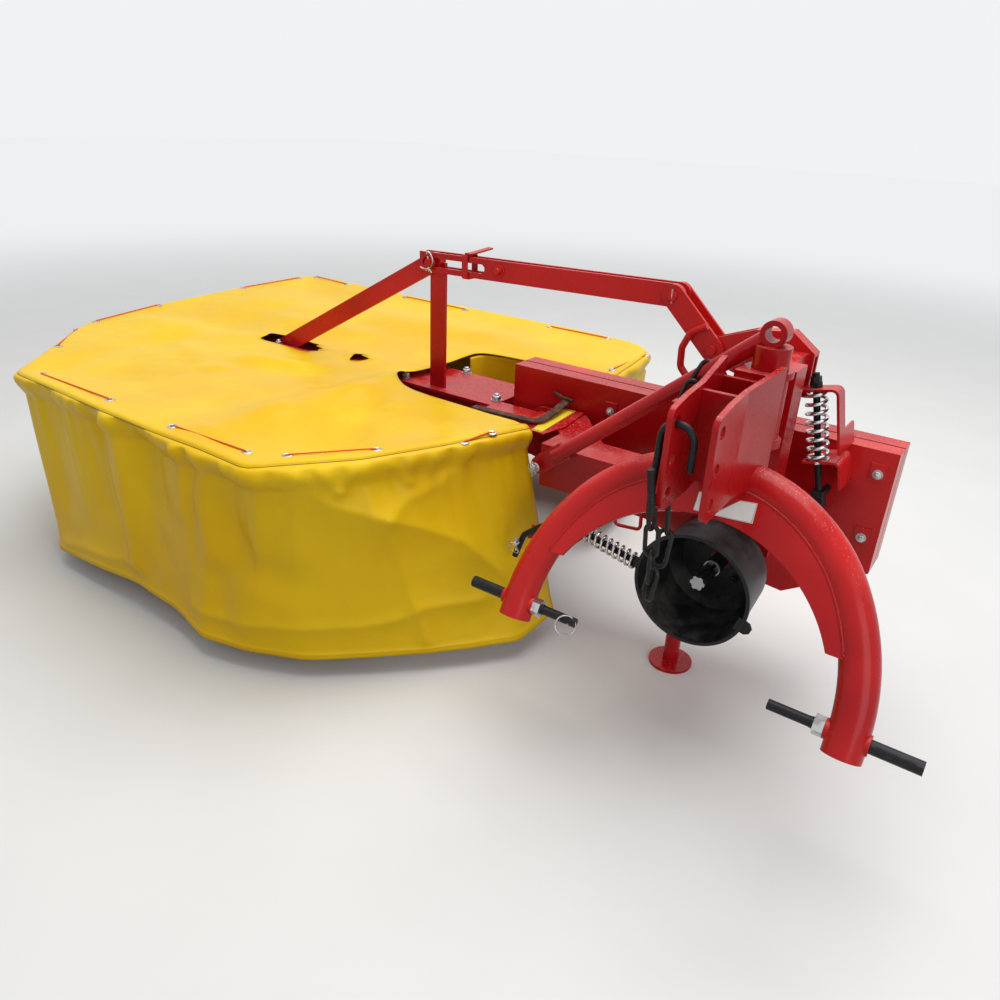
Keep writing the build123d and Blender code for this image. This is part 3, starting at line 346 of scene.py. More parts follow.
def addPiece(name, points, faces, look, body, uv=None, sharp=40.0, solid=True):
    # points and quads as arrays become a mesh in place, on its body; a solid has its seams and poles closed
    mesh = bpy.data.meshes.new(name)
    mesh.from_pydata(points.reshape(-1, 3).tolist(), [], faces.tolist())
    if uv is not None:
        layer = mesh.uv_layers.new(name="cloth")
        layer.data.foreach_set("uv", uv.reshape(-1, 2)[faces.ravel()].ravel())
    if solid:
        work = bmesh.new()
        work.from_mesh(mesh)
        bmesh.ops.remove_doubles(work, verts=work.verts, dist=0.00001)
        bmesh.ops.recalc_face_normals(work, faces=work.faces)
        work.to_mesh(mesh)
        work.free()
    mesh.shade_smooth()
    mesh.set_sharp_from_angle(angle=np.radians(sharp))
    mesh.materials.append(looks[look])
    piece = bpy.data.objects.new(name, mesh)
    bpy.context.scene.collection.objects.link(piece)
    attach(piece, body)
    return piece


def gridFaces(rows, columns, ringRows=False, ringColumns=False):
    # quads between neighbours of a grid of points, closed round where asked
    number = np.arange(rows * columns).reshape(rows, columns)
    if ringRows:
        number = np.concatenate([number, number[:1]])
    if ringColumns:
        number = np.concatenate([number, number[:, :1]], axis=1)
    return np.stack([number[:-1, :-1], number[1:, :-1], number[1:, 1:], number[:-1, 1:]], axis=-1).reshape(-1, 4)


def joined(parts):
    # several (points, faces) pairs as one pair
    sizes = np.cumsum([0] + [len(points) for points, faces in parts[:-1]])
    return (np.concatenate([points for points, faces in parts]),
            np.concatenate([faces + size for (points, faces), size in zip(parts, sizes)]))


def frameOf(direction):
    # two unit vectors square to a direction
    direction = np.asarray(direction, float) / np.linalg.norm(direction)
    helper = np.array([0.0, 0.0, 1.0]) if abs(direction[2]) < 0.9 else np.array([1.0, 0.0, 0.0])
    first = np.cross(helper, direction)
    first /= np.linalg.norm(first)
    return first, np.cross(direction, first), direction


def turned(profile, centre, axis, steps=32, corners=0):
    # lathe: point = centre + h axis + r(a) (cos a side + sin a other); with corners, r(a) follows a polygon
    profile = np.asarray(profile, float)
    side, other, axis = frameOf(axis)
    angle = np.linspace(0, 2 * np.pi, steps, endpoint=False)
    swell = np.ones_like(angle)
    if corners:
        half = np.pi / corners
        swell = 1 / np.cos((angle % (2 * half)) - half)
    hexed = profile[:, 2:3] if profile.shape[1] > 2 else np.zeros((len(profile), 1))
    radius = profile[:, :1] * (hexed * swell + (1 - hexed))
    circle = np.cos(angle)[:, None] * side + np.sin(angle)[:, None] * other
    points = np.asarray(centre, float) + profile[:, 1, None, None] * axis + radius[..., None] * circle
    return points.reshape(-1, 3), gridFaces(len(profile), steps, ringColumns=True)


def circle(radius, sides=10):
    angle = np.linspace(0, 2 * np.pi, sides, endpoint=False)
    return radius * np.stack([np.cos(angle), np.sin(angle)], axis=1)


def flat(wide, thick, edge=0.8):
    # section of a flat bar with eased edges
    x, y = wide / 2, thick / 2
    return np.array([[x - edge, -y], [x, edge - y], [x, y - edge], [x - edge, y],
                     [edge - x, y], [-x, y - edge], [-x, edge - y], [edge - x, -y]])


def swept(path, section, side=None, closed=False):
    # section along a path: point = P(i) + a A(i) + b B(i), A kept near the side direction, ends drawn in to a pole
    path, section = np.asarray(path, float), np.asarray(section, float)
    along = np.roll(path, -1, axis=0) - np.roll(path, 1, axis=0) if closed else np.gradient(path, axis=0)
    along /= np.linalg.norm(along, axis=1, keepdims=True)
    if side is None:
        side = np.eye(3)[np.argmin(np.abs(along).mean(axis=0))]
    other = np.cross(along, np.asarray(side, float))
    other /= np.linalg.norm(other, axis=1, keepdims=True)
    first = np.cross(other, along)
    size = np.ones(len(path))
    if not closed:
        path, first, other = [np.concatenate([rows[:1], rows, rows[-1:]]) for rows in (path, first, other)]
        size = np.concatenate([[0], size, [0]])
    spread = section[:, 0, None] * first[:, None] + section[:, 1, None] * other[:, None]
    points = path[:, None] + size[:, None, None] * spread
    return points.reshape(-1, 3), gridFaces(len(path), len(section), ringRows=closed, ringColumns=True)


def bentPath(corners, reach, steps=7, closed=False):
    # straight runs, each corner eased: (1-t)^2 A + 2t(1-t) C + t^2 B, A and B a reach before and after the corner C
    corners = np.asarray(corners, float)
    middle = corners if closed else corners[1:-1]
    before = (np.roll(corners, 1, axis=0) if closed else corners[:-2]) - middle
    after = (np.roll(corners, -1, axis=0) if closed else corners[2:]) - middle
    before, after = [way * np.minimum(reach / np.linalg.norm(way, axis=1, keepdims=True), 0.49) for way in (before, after)]
    t = np.linspace(0, 1, steps)[:, None]
    eased = middle[:, None] + (1 - t) ** 2 * before[:, None] + t ** 2 * after[:, None]
    if closed:
        return eased.reshape(-1, 3)
    return np.concatenate([corners[:1], eased.reshape(-1, 3), corners[-1:]])


def slab(outline, thick, origin, across, up):
    # flat plate as four rings: middle, outline, outline, middle, half the thickness to each side
    outline = np.asarray(outline, float)
    across = np.asarray(across, float) / np.linalg.norm(across)
    up = np.asarray(up, float) / np.linalg.norm(up)
    middle = np.broadcast_to(outline.mean(axis=0), outline.shape)
    rings = np.stack([middle, outline, outline, middle])
    height = np.array([1, 1, -1, -1])[:, None, None] * thick / 2
    points = np.asarray(origin, float) + rings[..., :1] * across + rings[..., 1:] * up + height * np.cross(across, up)
    return points.reshape(-1, 3), gridFaces(4, len(outline), ringColumns=True)


def nut(place, axis, across=19, tall=10, washer=30, stub=6, stubLong=5):
    # washer, hexagon with eased top, and the bolt's end above it
    half = across / 2
    rows = [[0, 0, 0], [washer / 2, 0, 0], [washer / 2, 2.5, 0], [half * 0.94, 2.5, 0], [half, 3.2, 1],
            [half, 2.5 + tall * 0.88, 1], [half * 0.93, 2.5 + tall, 0], [stub, 2.5 + tall, 0],
            [stub, 2.5 + tall + stubLong * 0.8, 0], [stub * 0.8, 2.5 + tall + stubLong, 0], [0, 2.5 + tall + stubLong, 0]]
    return turned(rows, place, axis, 24, 6)


def pinHead(place, axis, radius, tall, edge=1.5):
    # short round end of a pin with an eased rim
    rows = [[0, 0], [radius, 0], [radius, tall - edge], [radius - edge, tall], [0, tall]]
    return turned(rows, place, axis, 28)


def ringWire(centre, normal, radius, wire, steps=36, sides=8):
    # round ring of wire square to a direction
    first, other, normal = frameOf(normal)
    angle = np.linspace(0, 2 * np.pi, steps, endpoint=False)
    path = np.asarray(centre, float) + radius * (np.cos(angle)[:, None] * first + np.sin(angle)[:, None] * other)
    return swept(path, circle(wire, sides), normal, closed=True)


def coil(start, axis, radius, wire, long, turns):
    # spring: P(t) = start + r (cos t side + sin t other) + rise(t) axis, its first and last turns lying flat
    side, other, axis = frameOf(axis)
    share = np.linspace(0, 1, turns * 26 + 1)
    flatShare = 0.8 / turns
    rise = wire + (long - 2 * wire) * np.clip((share - flatShare) / (1 - 2 * flatShare), 0, 1)
    rise += 2 * wire * np.where(share < flatShare, share / flatShare - 1, 0) + 2 * wire * np.where(
        share > 1 - flatShare, (share - 1 + flatShare) / flatShare, 0)
    angle = 2 * np.pi * turns * share
    path = np.asarray(start, float) + rise[:, None] * axis + radius * (
        np.cos(angle)[:, None] * side + np.sin(angle)[:, None] * other)
    return swept(path, circle(wire, 8), axis)


# canvas cover: one sheet over the cutting unit, from its hem up over the piped edge and in to the notch
canvasShape = {"columns": 356, "frontShare": 0.70, "topRows": 40, "skirtRows": 64, "cornerRound": 1.5, "thick": 0.0012,
               "pucker": 0.0036, "gathers": 74, "foldPush": 1.35, "topPush": 1.35, "flare": 10}
# one row per rib round the cover: edge x y z, hem x y z, inner end x y z, height halfway between edge and inner end
canvasRibs = np.array([
    [-612, 372, 616, -505, 385, 70, -612, 372, 616, 616],
    [-640, 262, 622, -505, 210, 62, -668, 384, 618, 622],
    [-700, 108, 622, -592, 98, 60, -760, 396, 612, 612],
    [-790, -88, 622, -722, -42, 60, -880, 404, 611, 600],
    [-890, -218, 622, -900, -215, 60, -985, 408, 611, 596],
    [-955, -296, 620, -1045, -285, 60, -1060, 418, 610, 604],
    [-1126, -292, 621, -1175, -318, 66, -1120, 436, 608, 612],
    [-1312, -300, 622, -1330, -300, 84, -1160, 456, 606, 616],
    [-1543, -299, 623, -1505, -290, 88, -1184, 476, 604, 614],
    [-1800, -290, 623, -1720, -298, 76, -1195, 492, 602, 604],
    [-2018, -284, 622, -1940, -306, 60, -1203, 512, 600, 598],
    [-2160, -125, 623, -2130, -165, 66, -1210, 545, 598, 592],
    [-2380, 120, 625, -2350, 110, 75, -1214, 580, 598, 599],
    [-2430, 200, 626, -2420, 210, 80, -1211, 610, 598, 599],
    [-2492, 530, 630, -2485, 540, 85, -1205, 640, 599, 598],
    [-2528, 930, 634, -2528, 930, 85, -1197, 690, 600, 602],
    [-2548, 1240, 636, -2548, 1245, 85, -1192, 760, 602, 604],
    [-2540, 1345, 636, -2538, 1355, 85, -1192, 810, 603, 612],
    [-2440, 1380, 634, -2440, 1385, 85, -1192, 840, 604, 616],
    [-2200, 1378, 630, -2200, 1384, 85, -1190, 865, 605, 618],
    [-1914, 1378, 627, -1914, 1384, 85, -1186, 890, 606, 618],
    [-1577, 1380, 626, -1577, 1384, 85, -1165, 908, 607, 618],
    [-1356, 1380, 626, -1356, 1384, 85, -1120, 918, 608, 618],
    [-1158, 1379, 626, -1158, 1384, 85, -1040, 920, 609, 618],
    [-978, 1376, 626, -978, 1382, 85, -960, 918, 610, 618],
    [-800, 1366, 624, -800, 1374, 85, -860, 912, 610, 618],
    [-715, 1325, 622, -712, 1330, 85, -780, 906, 611, 618],
    [-684, 1130, 622, -680, 1130, 85, -720, 902, 613, 621],
    [-668, 995, 622, -664, 995, 85, -686, 900, 619, 622],
    [-656, 898, 619, -650, 896, 85, -656, 898, 619, 619]])
# piped edge, section across it: outwards and up from the edge line, from the sheet's side to the skirt's side
pipedEdge = np.array([[-30, 3], [-18, 4.5], [-9, 4.5], [-4, 3], [-1, 0], [0.5, -4], [3, -4.5], [8, -6], [12, -10],
                      [14, -17], [14, -26], [10, -37], [3, -49], [-4, -62]])
# creases of the sheet: start x y, end x y, rise, width
topCreases = np.array([
    [-1203, -234, -1184, -9, 9, 70], [-1184, -9, -1180, 282, 15, 80], [-1180, 282, -1206, 500, 16, 60],
    [-1205, 268, -950, -7, -13, 80], [-1031, 300, -900, 60, 6, 45], [-1187, 377, -944, 87, -6, 60],
    [-2300, 900, -1500, 1120, 9, 120], [-2350, 1180, -1300, 1230, -7, 110], [-2380, 520, -1500, 700, -6, 130],
    [-2350, 330, -1800, 560, 8, 70], [-2000, 60, -1320, 250, 7, 130], [-1950, -150, -1400, -60, -6, 90],
    [-1700, 330, -1540, 380, 15, 55], [-1560, 640, -1300, 600, 5, 60], [-2150, 760, -1700, 830, 7, 60],
    [-900, 1000, -1300, 1100, 8, 90], [-1500, 950, -1250, 1000, -5, 70], [-2014, -192, -2077, 260, -7, 60],
    [-2077, 260, -2180, 959, -8, 75], [-2028, 272, -1686, 176, 9, 40]])
# folds of the skirt: push outwards, width, how sharp, then the line x y z that each follows
skirtFolds = [
    (18, 62, 1, [[-1019, -284, 594], [-897, -217, 570], [-831, -126, 506], [-767, -53, 467], [-728, 11, 427], [-663, 117, 367],
                 [-587, 197, 271], [-550, 262, 215]]),
    (13, 48, 1, [[-767, -53, 467], [-746, 10, 504], [-720, 92, 524], [-693, 155, 559], [-660, 181, 591]]),
    (12, 40, 1, [[-767, -53, 467], [-757, -44, 370], [-745, -39, 293], [-732, -35, 215], [-721, -32, 157], [-705, -32, 99]]),
    (-12, 48, 0, [[-1089, -298, 582], [-1083, -292, 462], [-1084, -297, 329], [-1065, -298, 138]]),
    (-11, 50, 0, [[-1042, -276, 406], [-982, -249, 329], [-936, -216, 291]]),
    (9, 26, 1, [[-1065, -298, 138], [-910, -211, 156], [-816, -127, 157], [-751, -63, 176], [-728, -34, 196], [-695, 6, 195],
                [-601, 136, 195]]),
    (8, 28, 1, [[-1183, -312, 144], [-1065, -298, 138]]),
    (-16, 90, 0, [[-987, -280, 583], [-1003, -256, 482], [-995, -256, 349]]),
    (8, 17, 0, [[-842, -169, 596], [-826, -140, 555]]), (8, 17, 0, [[-801, -110, 596], [-815, -135, 556]]),
    (7, 17, 0, [[-874, -213, 595], [-850, -185, 560]]), (6, 14, 0, [[-711, 85, 596], [-723, 91, 560]]),
    (6, 14, 0, [[-737, 19, 596], [-756, 27, 555]]), (6, 14, 0, [[-750, -15, 595], [-754, 28, 544]]),
    (15, 45, 0, [[-1501, -303, 577], [-1496, -303, 488], [-1507, -302, 377], [-1523, -294, 178]]),
    (-14, 60, 0, [[-1429, -299, 597], [-1376, -277, 523], [-1343, -273, 415]]),
    (13, 42, 0, [[-1107, -303, 594], [-1133, -290, 484], [-1100, -302, 329]]),
    (10, 26, 1, [[-1957, -279, 100], [-1842, -288, 125], [-1719, -290, 132], [-1552, -296, 159]]),
    (-11, 60, 0, [[-1841, -295, 595], [-1878, -276, 467], [-1918, -280, 277]]),
    (-14, 60, 0, [[-1590, -292, 596], [-1650, -278, 469], [-1649, -285, 321]]),
    (-10, 50, 0, [[-1358, -293, 570], [-1410, -281, 452], [-1377, -291, 267]]),
    (8, 36, 0, [[-1196, -302, 594], [-1224, -291, 427]]),
    (9, 50, 0, [[-2200, -80, 560], [-2230, -60, 200]]), (-9, 60, 0, [[-2340, 80, 560], [-2330, 70, 150]]),
    (12, 60, 0, [[-2530, 700, 560], [-2530, 760, 160]]), (-10, 60, 0, [[-2540, 1080, 560], [-2540, 1040, 160]]),
    (12, 60, 0, [[-2150, 1380, 560], [-2120, 1380, 160]]), (-10, 70, 0, [[-1750, 1380, 560], [-1790, 1380, 200]]),
    (12, 60, 0, [[-1400, 1380, 560], [-1350, 1380, 150]]), (-9, 60, 0, [[-1050, 1380, 560], [-1080, 1380, 180]])]
slitShape = {"middle": (-1778, 560), "length": 255, "width": 66, "turn": 9}
eyeShape = {"middle": (-1466, 588), "length": 60, "width": 30, "turn": 20}


def nearSegment(points, start, end):
    # distance from points to a segment, and how far along it the nearest point lies
    run = end - start
    share = np.clip(((points - start) @ run) / (run @ run), 0, 1)
    return np.linalg.norm(points - start - share[..., None] * run, axis=-1), share


def foldHeight(distance, width, sharp):
    # a soft fold is a bell, a sharp one a tent with a rounded ridge
    bell = np.exp(-(distance / width) ** 2)
    tent = np.exp(-np.abs(distance) / width)
    return np.where(sharp > 0, tent, bell)


def slotDistance(x, y, shape):
    # signed distance to a slot with round ends, and its outward direction
    turn = np.radians(shape["turn"])
    along = (x - shape["middle"][0]) * np.cos(turn) + (y - shape["middle"][1]) * np.sin(turn)
    across = -(x - shape["middle"][0]) * np.sin(turn) + (y - shape["middle"][1]) * np.cos(turn)
    half = (shape["length"] - shape["width"]) / 2
    past = along - np.clip(along, -half, half)
    far = np.hypot(past, across) + 1e-9
    outX, outY = past / far, across / far
    return far - shape["width"] / 2, outX * np.cos(turn) - outY * np.sin(turn), outX * np.sin(turn) + outY * np.cos(turn)


def makeCanvas():
    chance = np.random.default_rng(7)
    columns = canvasShape["columns"]
    steps = np.linalg.norm(np.diff(canvasRibs[:, :2], axis=0), axis=1)
    where = np.concatenate([[0], np.cumsum(steps)])
    # more columns along the front, where the skirt is seen
    even = np.interp(np.linspace(0, 1, columns), [0, canvasShape["frontShare"], 1], [0, where[13], where[-1]])
    ribs = np.stack([np.interp(even, where, column) for column in canvasRibs.T], axis=1)
    reach = np.arange(columns)
    blur = np.exp(-0.5 * ((reach[:, None] - reach) / canvasShape["cornerRound"]) ** 2)
    soft = (blur / blur.sum(axis=1, keepdims=True)) @ ribs
    soft[[0, -1]] = ribs[[0, -1]]
    edge, hem, inner, middle = soft[:, :3], soft[:, 3:6], soft[:, 6:9], soft[:, 9]
    along = np.gradient(edge[:, :2], axis=0)
    along /= np.linalg.norm(along, axis=1, keepdims=True)
    outward = np.stack([-along[:, 1], along[:, 0]], axis=1)
    outward *= np.sign(((edge[:, :2] - inner[:, :2]) * outward).sum(axis=1).mean())
    # uneven gathers along the edge, from smoothed chance numbers
    rough = chance.normal(size=columns)
    kernel = np.exp(-0.5 * (np.arange(-6, 7) / 1.1) ** 2)
    gathers = np.convolve(rough, kernel / kernel.sum(), mode="same") * 1.6
    slow = np.convolve(chance.normal(size=columns), np.hanning(40) / np.hanning(40).sum(), mode="same") * 4
    # piped edge
    out, up = pipedEdge[:, 0], pipedEdge[:, 1]
    gathered = np.clip((-up - 4.2) / 9, 0, 1)
    puckers = canvasShape["pucker"] * 1000 * gathers[:, None] * gathered + 1.5 * slow[:, None] * gathered
    band = np.concatenate([edge[:, None, :2] + (out + puckers)[..., None] * outward[:, None],
                           (edge[:, 2:3] + up - 0.6 * puckers)[..., None]], axis=2)
    # sheet, from the inner end out to the piped edge, hanging towards the middle
    share = (1 - np.linspace(0, 1, canvasShape["topRows"], endpoint=False))[None, :, None]
    first = band[:, :1]
    sheet = first + (inner[:, None] - first) * share
    sag = (4 * share * (1 - share))[..., 0] * (middle[:, None] - (first[..., 2] + inner[:, None, 2]) / 2)
    sheet[..., 2] += sag
    # skirt, from the piped edge down to the hem
    last = band[:, -1:]
    drop = np.linspace(0, 1, canvasShape["skirtRows"] + 1)[1:]
    drop = np.concatenate([drop[:-1], [0.962, 0.970, 0.978, 1.0]])
    drop = np.unique(drop)
    skirt = last + (hem[:, None] - last) * drop[None, :, None]
    flare = canvasShape["flare"] * np.clip((drop - 0.80) / 0.2, 0, 1) ** 2 + 2.5 * np.exp(-((drop - 0.970) / 0.007) ** 2)
    ripple = (slow[:, None] * 3.0 + gathers[:, None] * 2.2) * np.exp(-drop * 5.0) + slow[:, None] * 5 * drop
    skirt[..., :2] += (flare + ripple)[..., None] * outward[:, None]
    points = np.concatenate([sheet, band, skirt], axis=1)
    topCount = sheet.shape[1]
    for x0, y0, x1, y1, rise, width in topCreases:
        distance, share = nearSegment(points[..., :2], np.array([x0, y0]), np.array([x1, y1]))
        fade = np.ones(points.shape[1])
        fade[topCount - 3:] = np.clip(1 - np.arange(points.shape[1] - topCount + 3) / 4, 0, 1)
        points[..., 2] += canvasShape["topPush"] * rise * foldHeight(distance, width, 0) * fade
    # folds are laid out on the unrolled skirt: run along the edge, and height
    unrolled = np.stack([np.broadcast_to(even[:, None], points.shape[:2]), points[..., 2]], axis=2)
    push = np.zeros(points.shape[:2])
    for height, width, sharp, line in skirtFolds:
        line = np.array(line, float)
        nearest = np.linalg.norm(line[:, None, :2] - edge[None, :, :2], axis=2).argmin(axis=1)
        route = np.stack([even[nearest], line[:, 2]], axis=1)
        distance = np.min([nearSegment(unrolled, first, last)[0] for first, last in zip(route[:-1], route[1:])], axis=0)
        push += canvasShape["foldPush"] * height * foldHeight(distance, width, sharp)
    # small gathers that run down from the seam, each dying out towards its foot
    for start in chance.uniform(0, where[-1], canvasShape["gathers"]):
        high, lean = chance.uniform(45, 130), chance.uniform(-0.6, 0.6)
        top = np.array([start, 602.0])
        distance, share = nearSegment(unrolled, top, top + [lean * high, -high])
        push += chance.choice([-3.5, 4.5]) * np.exp(-(distance / chance.uniform(12, 20)) ** 2) * (1 - share) ** 0.7
    fade = np.clip((np.arange(points.shape[1]) - topCount - 5) / 3, 0, 1)
    points[..., :2] += (push * fade)[..., None] * outward[:, None]
    # the slit and the small eye are cut out: nearby points move onto their outline, faces inside go
    top = points[:, :topCount]
    for shape in (slitShape, eyeShape):
        signed, outX, outY = slotDistance(top[..., 0], top[..., 1], shape)
        close = np.abs(signed) < 11
        top[..., 0] -= np.where(close, signed * outX, 0)
        top[..., 1] -= np.where(close, signed * outY, 0)
        top[..., 2] += 9 * np.exp(-(np.clip(signed, 0, None) / 36) ** 2) * (0.35 + outY)
    faces = gridFaces(points.shape[0], points.shape[1])
    flat = points.reshape(-1, 3)
    middles = flat[faces].mean(axis=1)
    gone = np.zeros(len(faces), bool)
    for shape in (slitShape, eyeShape):
        signed, outX, outY = slotDistance(middles[:, 0], middles[:, 1], shape)
        gone |= (signed < -0.5) & (middles[:, 2] > 500)
    faces = faces[~gone][:, ::-1]
    run = np.linalg.norm(np.diff(points, axis=1), axis=2)
    across = np.concatenate([np.zeros((columns, 1)), np.cumsum(run, axis=1)], axis=1)
    across -= across[:, topCount + 5:topCount + 6]
    uv = np.stack([np.broadcast_to(even[:, None], across.shape), -across - 13.5], axis=2) * 0.001
    return points, faces, uv, topCount


canvasPoints, canvasFaces, canvasUv, topCount = makeCanvas()
canvas = addPiece("cover_canvas", fromHitch(canvasPoints), canvasFaces, "yellowCanvas", "cutter_unit",
                  canvasUv, 180.0, solid=False)
thick = canvas.modifiers.new("thickness", "SOLIDIFY")
thick.thickness = canvasShape["thick"]
thick.offset = -1
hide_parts("cover")
corners = canvasPoints.reshape(-1, 3)[canvasFaces] * 0.001
canvasArea = float(0.5 * np.linalg.norm(np.cross(corners[:, 2] - corners[:, 0], corners[:, 3] - corners[:, 1]), axis=1).sum())
print("canvas area", round(canvasArea, 3), "faces", len(canvasFaces))
print("canvas made")

# springs wound from round wire, in the places of the plain sleeves
coilShape = {"tensionerTurns": 9, "releaseTurns": 9}
lean = np.radians(12.8)
leanAxis = np.array([-np.sin(lean), 0, np.cos(lean)])
tensionerFoot = np.array([101, 534, 665]) + 6 * leanAxis
points, faces = coil(tensionerFoot, leanAxis, 22.6, 4.4, 165.6, coilShape["tensionerTurns"])
tensionerCoil = addPiece("tensioner_coil", fromHitch(points), faces, "springSteel", "swing_frame")
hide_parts("tensioner_spring")
releaseEnd, releaseBefore = np.array([-172.0, 194, 437]), np.array([-335.0, 211, 460])
releaseAxis = (releaseEnd - releaseBefore) / np.linalg.norm(releaseEnd - releaseBefore)
releaseFoot = releaseEnd - releaseAxis * (12 + 136.8)
points, faces = coil(releaseFoot, releaseAxis, 17.4, 3.6, 136.8, coilShape["releaseTurns"])
releaseCoil = addPiece("release_coil", fromHitch(points), faces, "springSteel", "swing_frame")
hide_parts("release_spring")
print("springs made")

# chain with its hook on the mast: each row is a link's top x y z, its foot x y z and its quarter turn
chainShape = {"wide": 36, "rod": 4.8}
hangingLinks = np.array([
    [-58, -53, 742, -50, -50, 664, 0], [-50, -50, 680, -47, -44, 602, 90], [-47, -43, 619, -46, -38, 541, 15],
    [-38, -36, 582, -50, -30, 497, 60], [-52, 17, 712, -42, 12, 632, 20], [-43, 12, 648, -42, -14, 566, 95]])
tubeLinks = np.array([
    [-111, 297, 918, -131, 265, 860, 25], [-128, 268, 878, -146, 262, 814, 110], [-111, 297, 918, -92, 336, 868, 20]])


def chainOf(table):
    # link: P(t) = middle + long (w sin t +- (l - w)) + wide w cos t, a run of straight sides and half circles
    parts = []
    angle = (np.arange(24) + 0.5) * np.pi / 12
    reach = (chainShape["wide"] - 2 * chainShape["rod"]) / 2
    for row in table:
        top, foot = row[:3], row[3:6]
        first, other, long = frameOf(top - foot)
        turn = np.radians(row[6])
        wide = np.cos(turn) * first + np.sin(turn) * other
        half = np.linalg.norm(top - foot) / 2 - chainShape["rod"]
        path = (top + foot) / 2 + (reach * np.sin(angle) + np.sign(np.sin(angle)) * (half - reach))[:, None] * long
        path = path + reach * np.cos(angle)[:, None] * wide
        parts.append(swept(path, circle(chainShape["rod"], 8), np.cross(long, wide), closed=True))
    return parts


crown = np.radians(np.linspace(0, 180, 15))
hookPath = np.stack([-32.5 + 33 * np.cos(crown), np.full(15, -30.0), 847.7 + 33 * np.sin(crown)], axis=1)
hookPath = np.concatenate([[[0.5, -30, 795]], [[0.5, -30, 818]], hookPath, [[-65.5, -32, 812], [-65.5, -36, 776],
                                                                           [-62, -46, 742], [-57, -54, 716], [-56, -58, 700]]])
toggle = [[-60, -68, 796], [-57, -67, 770], [-53, -66, 740], [-50, -64, 712]]
points, faces = joined([swept(hookPath, circle(7.2, 12), (0, 1, 0)), swept(toggle, circle(7.6, 12), (0, 1, 0))]
                       + chainOf(hangingLinks))
addPiece("mast_chain", fromHitch(points), faces, "blackSteel", "hitch_frame")
points, faces = joined(chainOf(tubeLinks))
addPiece("stay_chain", fromHitch(points), faces, "blackSteel", "swing_frame")
print("chain made")

# small fasteners: x y z, axis, hexagon, height, washer, bolt radius, bolt length
plateNuts = [[-1127, 764, 575], [-895, 742, 575], [-883, 600, 575], [-1250, 590, 575], [-1250, 745, 575]]
points, faces = joined([nut(place, (0, 0, 1), 24, 13, 36, 7.5, 6) for place in plateNuts])
addPiece("plate_nuts", fromHitch(points), faces, "zincPlate", "cutter_unit")
guardNuts = [[-494, 612, 627], [-60, 612, 640], [225, 612, 640], [225, 612, 470], [-780, 612, 500]]
guardTabs = [slab([[-19, -20], [19, -20], [19, 26], [-19, 26]], 5, np.array(place) + [0, 1, 0], (1, 0, 0), (0, 0, 1))
             for place in guardNuts]
points, faces = joined(guardTabs)
addPiece("guard_tabs", fromHitch(points), faces, "redPaint", "swing_frame")
points, faces = joined([nut(np.array(place) - [0, 1.5, 0], (0, -1, 0), 17, 8, 24, 5, 5) for place in guardNuts])
addPiece("guard_nuts", fromHitch(points), faces, "zincPlate", "swing_frame")
bowlAngle = np.radians([-45, 45, 135, 225]) + 0.12
bowlBolts = np.stack([-24 + 55 * np.cos(bowlAngle), np.full(4, 326.0), 440 + 55 * np.sin(bowlAngle)], axis=1)
points, faces = joined([nut(place, (0, -1, 0), 15, 8, 24, 4.5, 5) for place in bowlBolts])
addPiece("bowl_bolts", fromHitch(points), faces, "blackSteel", "swing_frame")
print("nuts made")

# pins of the linkage with their heads, split pins and ring clips
linkHeads = [pinHead((-1116, 557, 966), (0, -1, 0), 19, 4), pinHead((-1116, 603, 966), (0, 1, 0), 19, 4),
             pinHead((-863, 561, 973), (0, -1, 0), 17, 4), pinHead((-863, 559, 973), (0, -1, 0), 10, 16, 2)]
points, faces = joined(linkHeads[2:])
addPiece("link_stud", fromHitch(points), faces, "redPaint", "lift_link")
clipWire = [[-1146, 545, 950], [-1128, 547, 946], [-1112, 548, 950], [-1101, 549, 962], [-1100, 549, 978],
            [-1108, 549, 992], [-1120, 548, 1000], [-1122, 548, 990]]
points, faces = joined([swept(bentPath(clipWire, 8), circle(2.4, 8), (0, 1, 0)),
                        swept(bentPath([[-1124, 548, 942], [-1116, 548, 952], [-1104, 548, 938]], 5), circle(2.4, 8), (0, 1, 0)),
                        swept([[-1118, 548, 985], [-1116, 548, 966], [-1114, 548, 940]], circle(2.2, 8), (0, 1, 0))])
addPiece("apex_clip", fromHitch(points), faces, "zincPlate", "cutter_unit")
points, faces = joined(linkHeads[:2])
addPiece("apex_washers", fromHitch(points), faces, "redPaint", "cutter_unit")
ringClips = [ringWire((-238, -14, 344), (-0.5, 0.75, -0.3), 23, 1.7), swept([[-234, -15, 346], [-233, 0, 345], [-232, 14, 344]],
                                                                        circle(4, 10), (0, 0, 1))]
points, faces = joined(ringClips)
addPiece("pin_ring", fromHitch(points), faces, "zincPlate", "hitch_frame")
latchClips = [ringWire((-528, 196, 352), (0.2, 0.9, 0.4), 19, 1.7), pinHead((-516, 197, 372), (0, -1, 0), 7, 14),
              swept([[-516, 190, 392], [-516, 191, 372], [-515, 192, 350]], circle(3.4, 8), (0, 1, 0))]
points, faces = joined(latchClips)
addPiece("latch_ring", fromHitch(points), faces, "zincPlate", "swing_frame")
stayPins = [pinHead((-526, 279, 554), (0, -1, 0), 13, 4), pinHead((-526, 276, 554), (0, -1, 0), 8.5, 16, 2),
            swept([[-526, 264, 574], [-526, 264, 554], [-524, 264, 534]], circle(2.2, 8), (0, 1, 0)),
            ringWire((-526, 264, 554), (0.3, 0.9, 0.2), 14, 1.7)]
points, faces = joined(stayPins)
addPiece("stay_clip", fromHitch(points), faces, "zincPlate", "swing_frame")
leverPins = [swept([[-326, 544, 1003], [-326, 545, 985], [-325, 546, 968]], circle(2.4, 8), (0, 1, 0))]
points, faces = joined(leverPins)
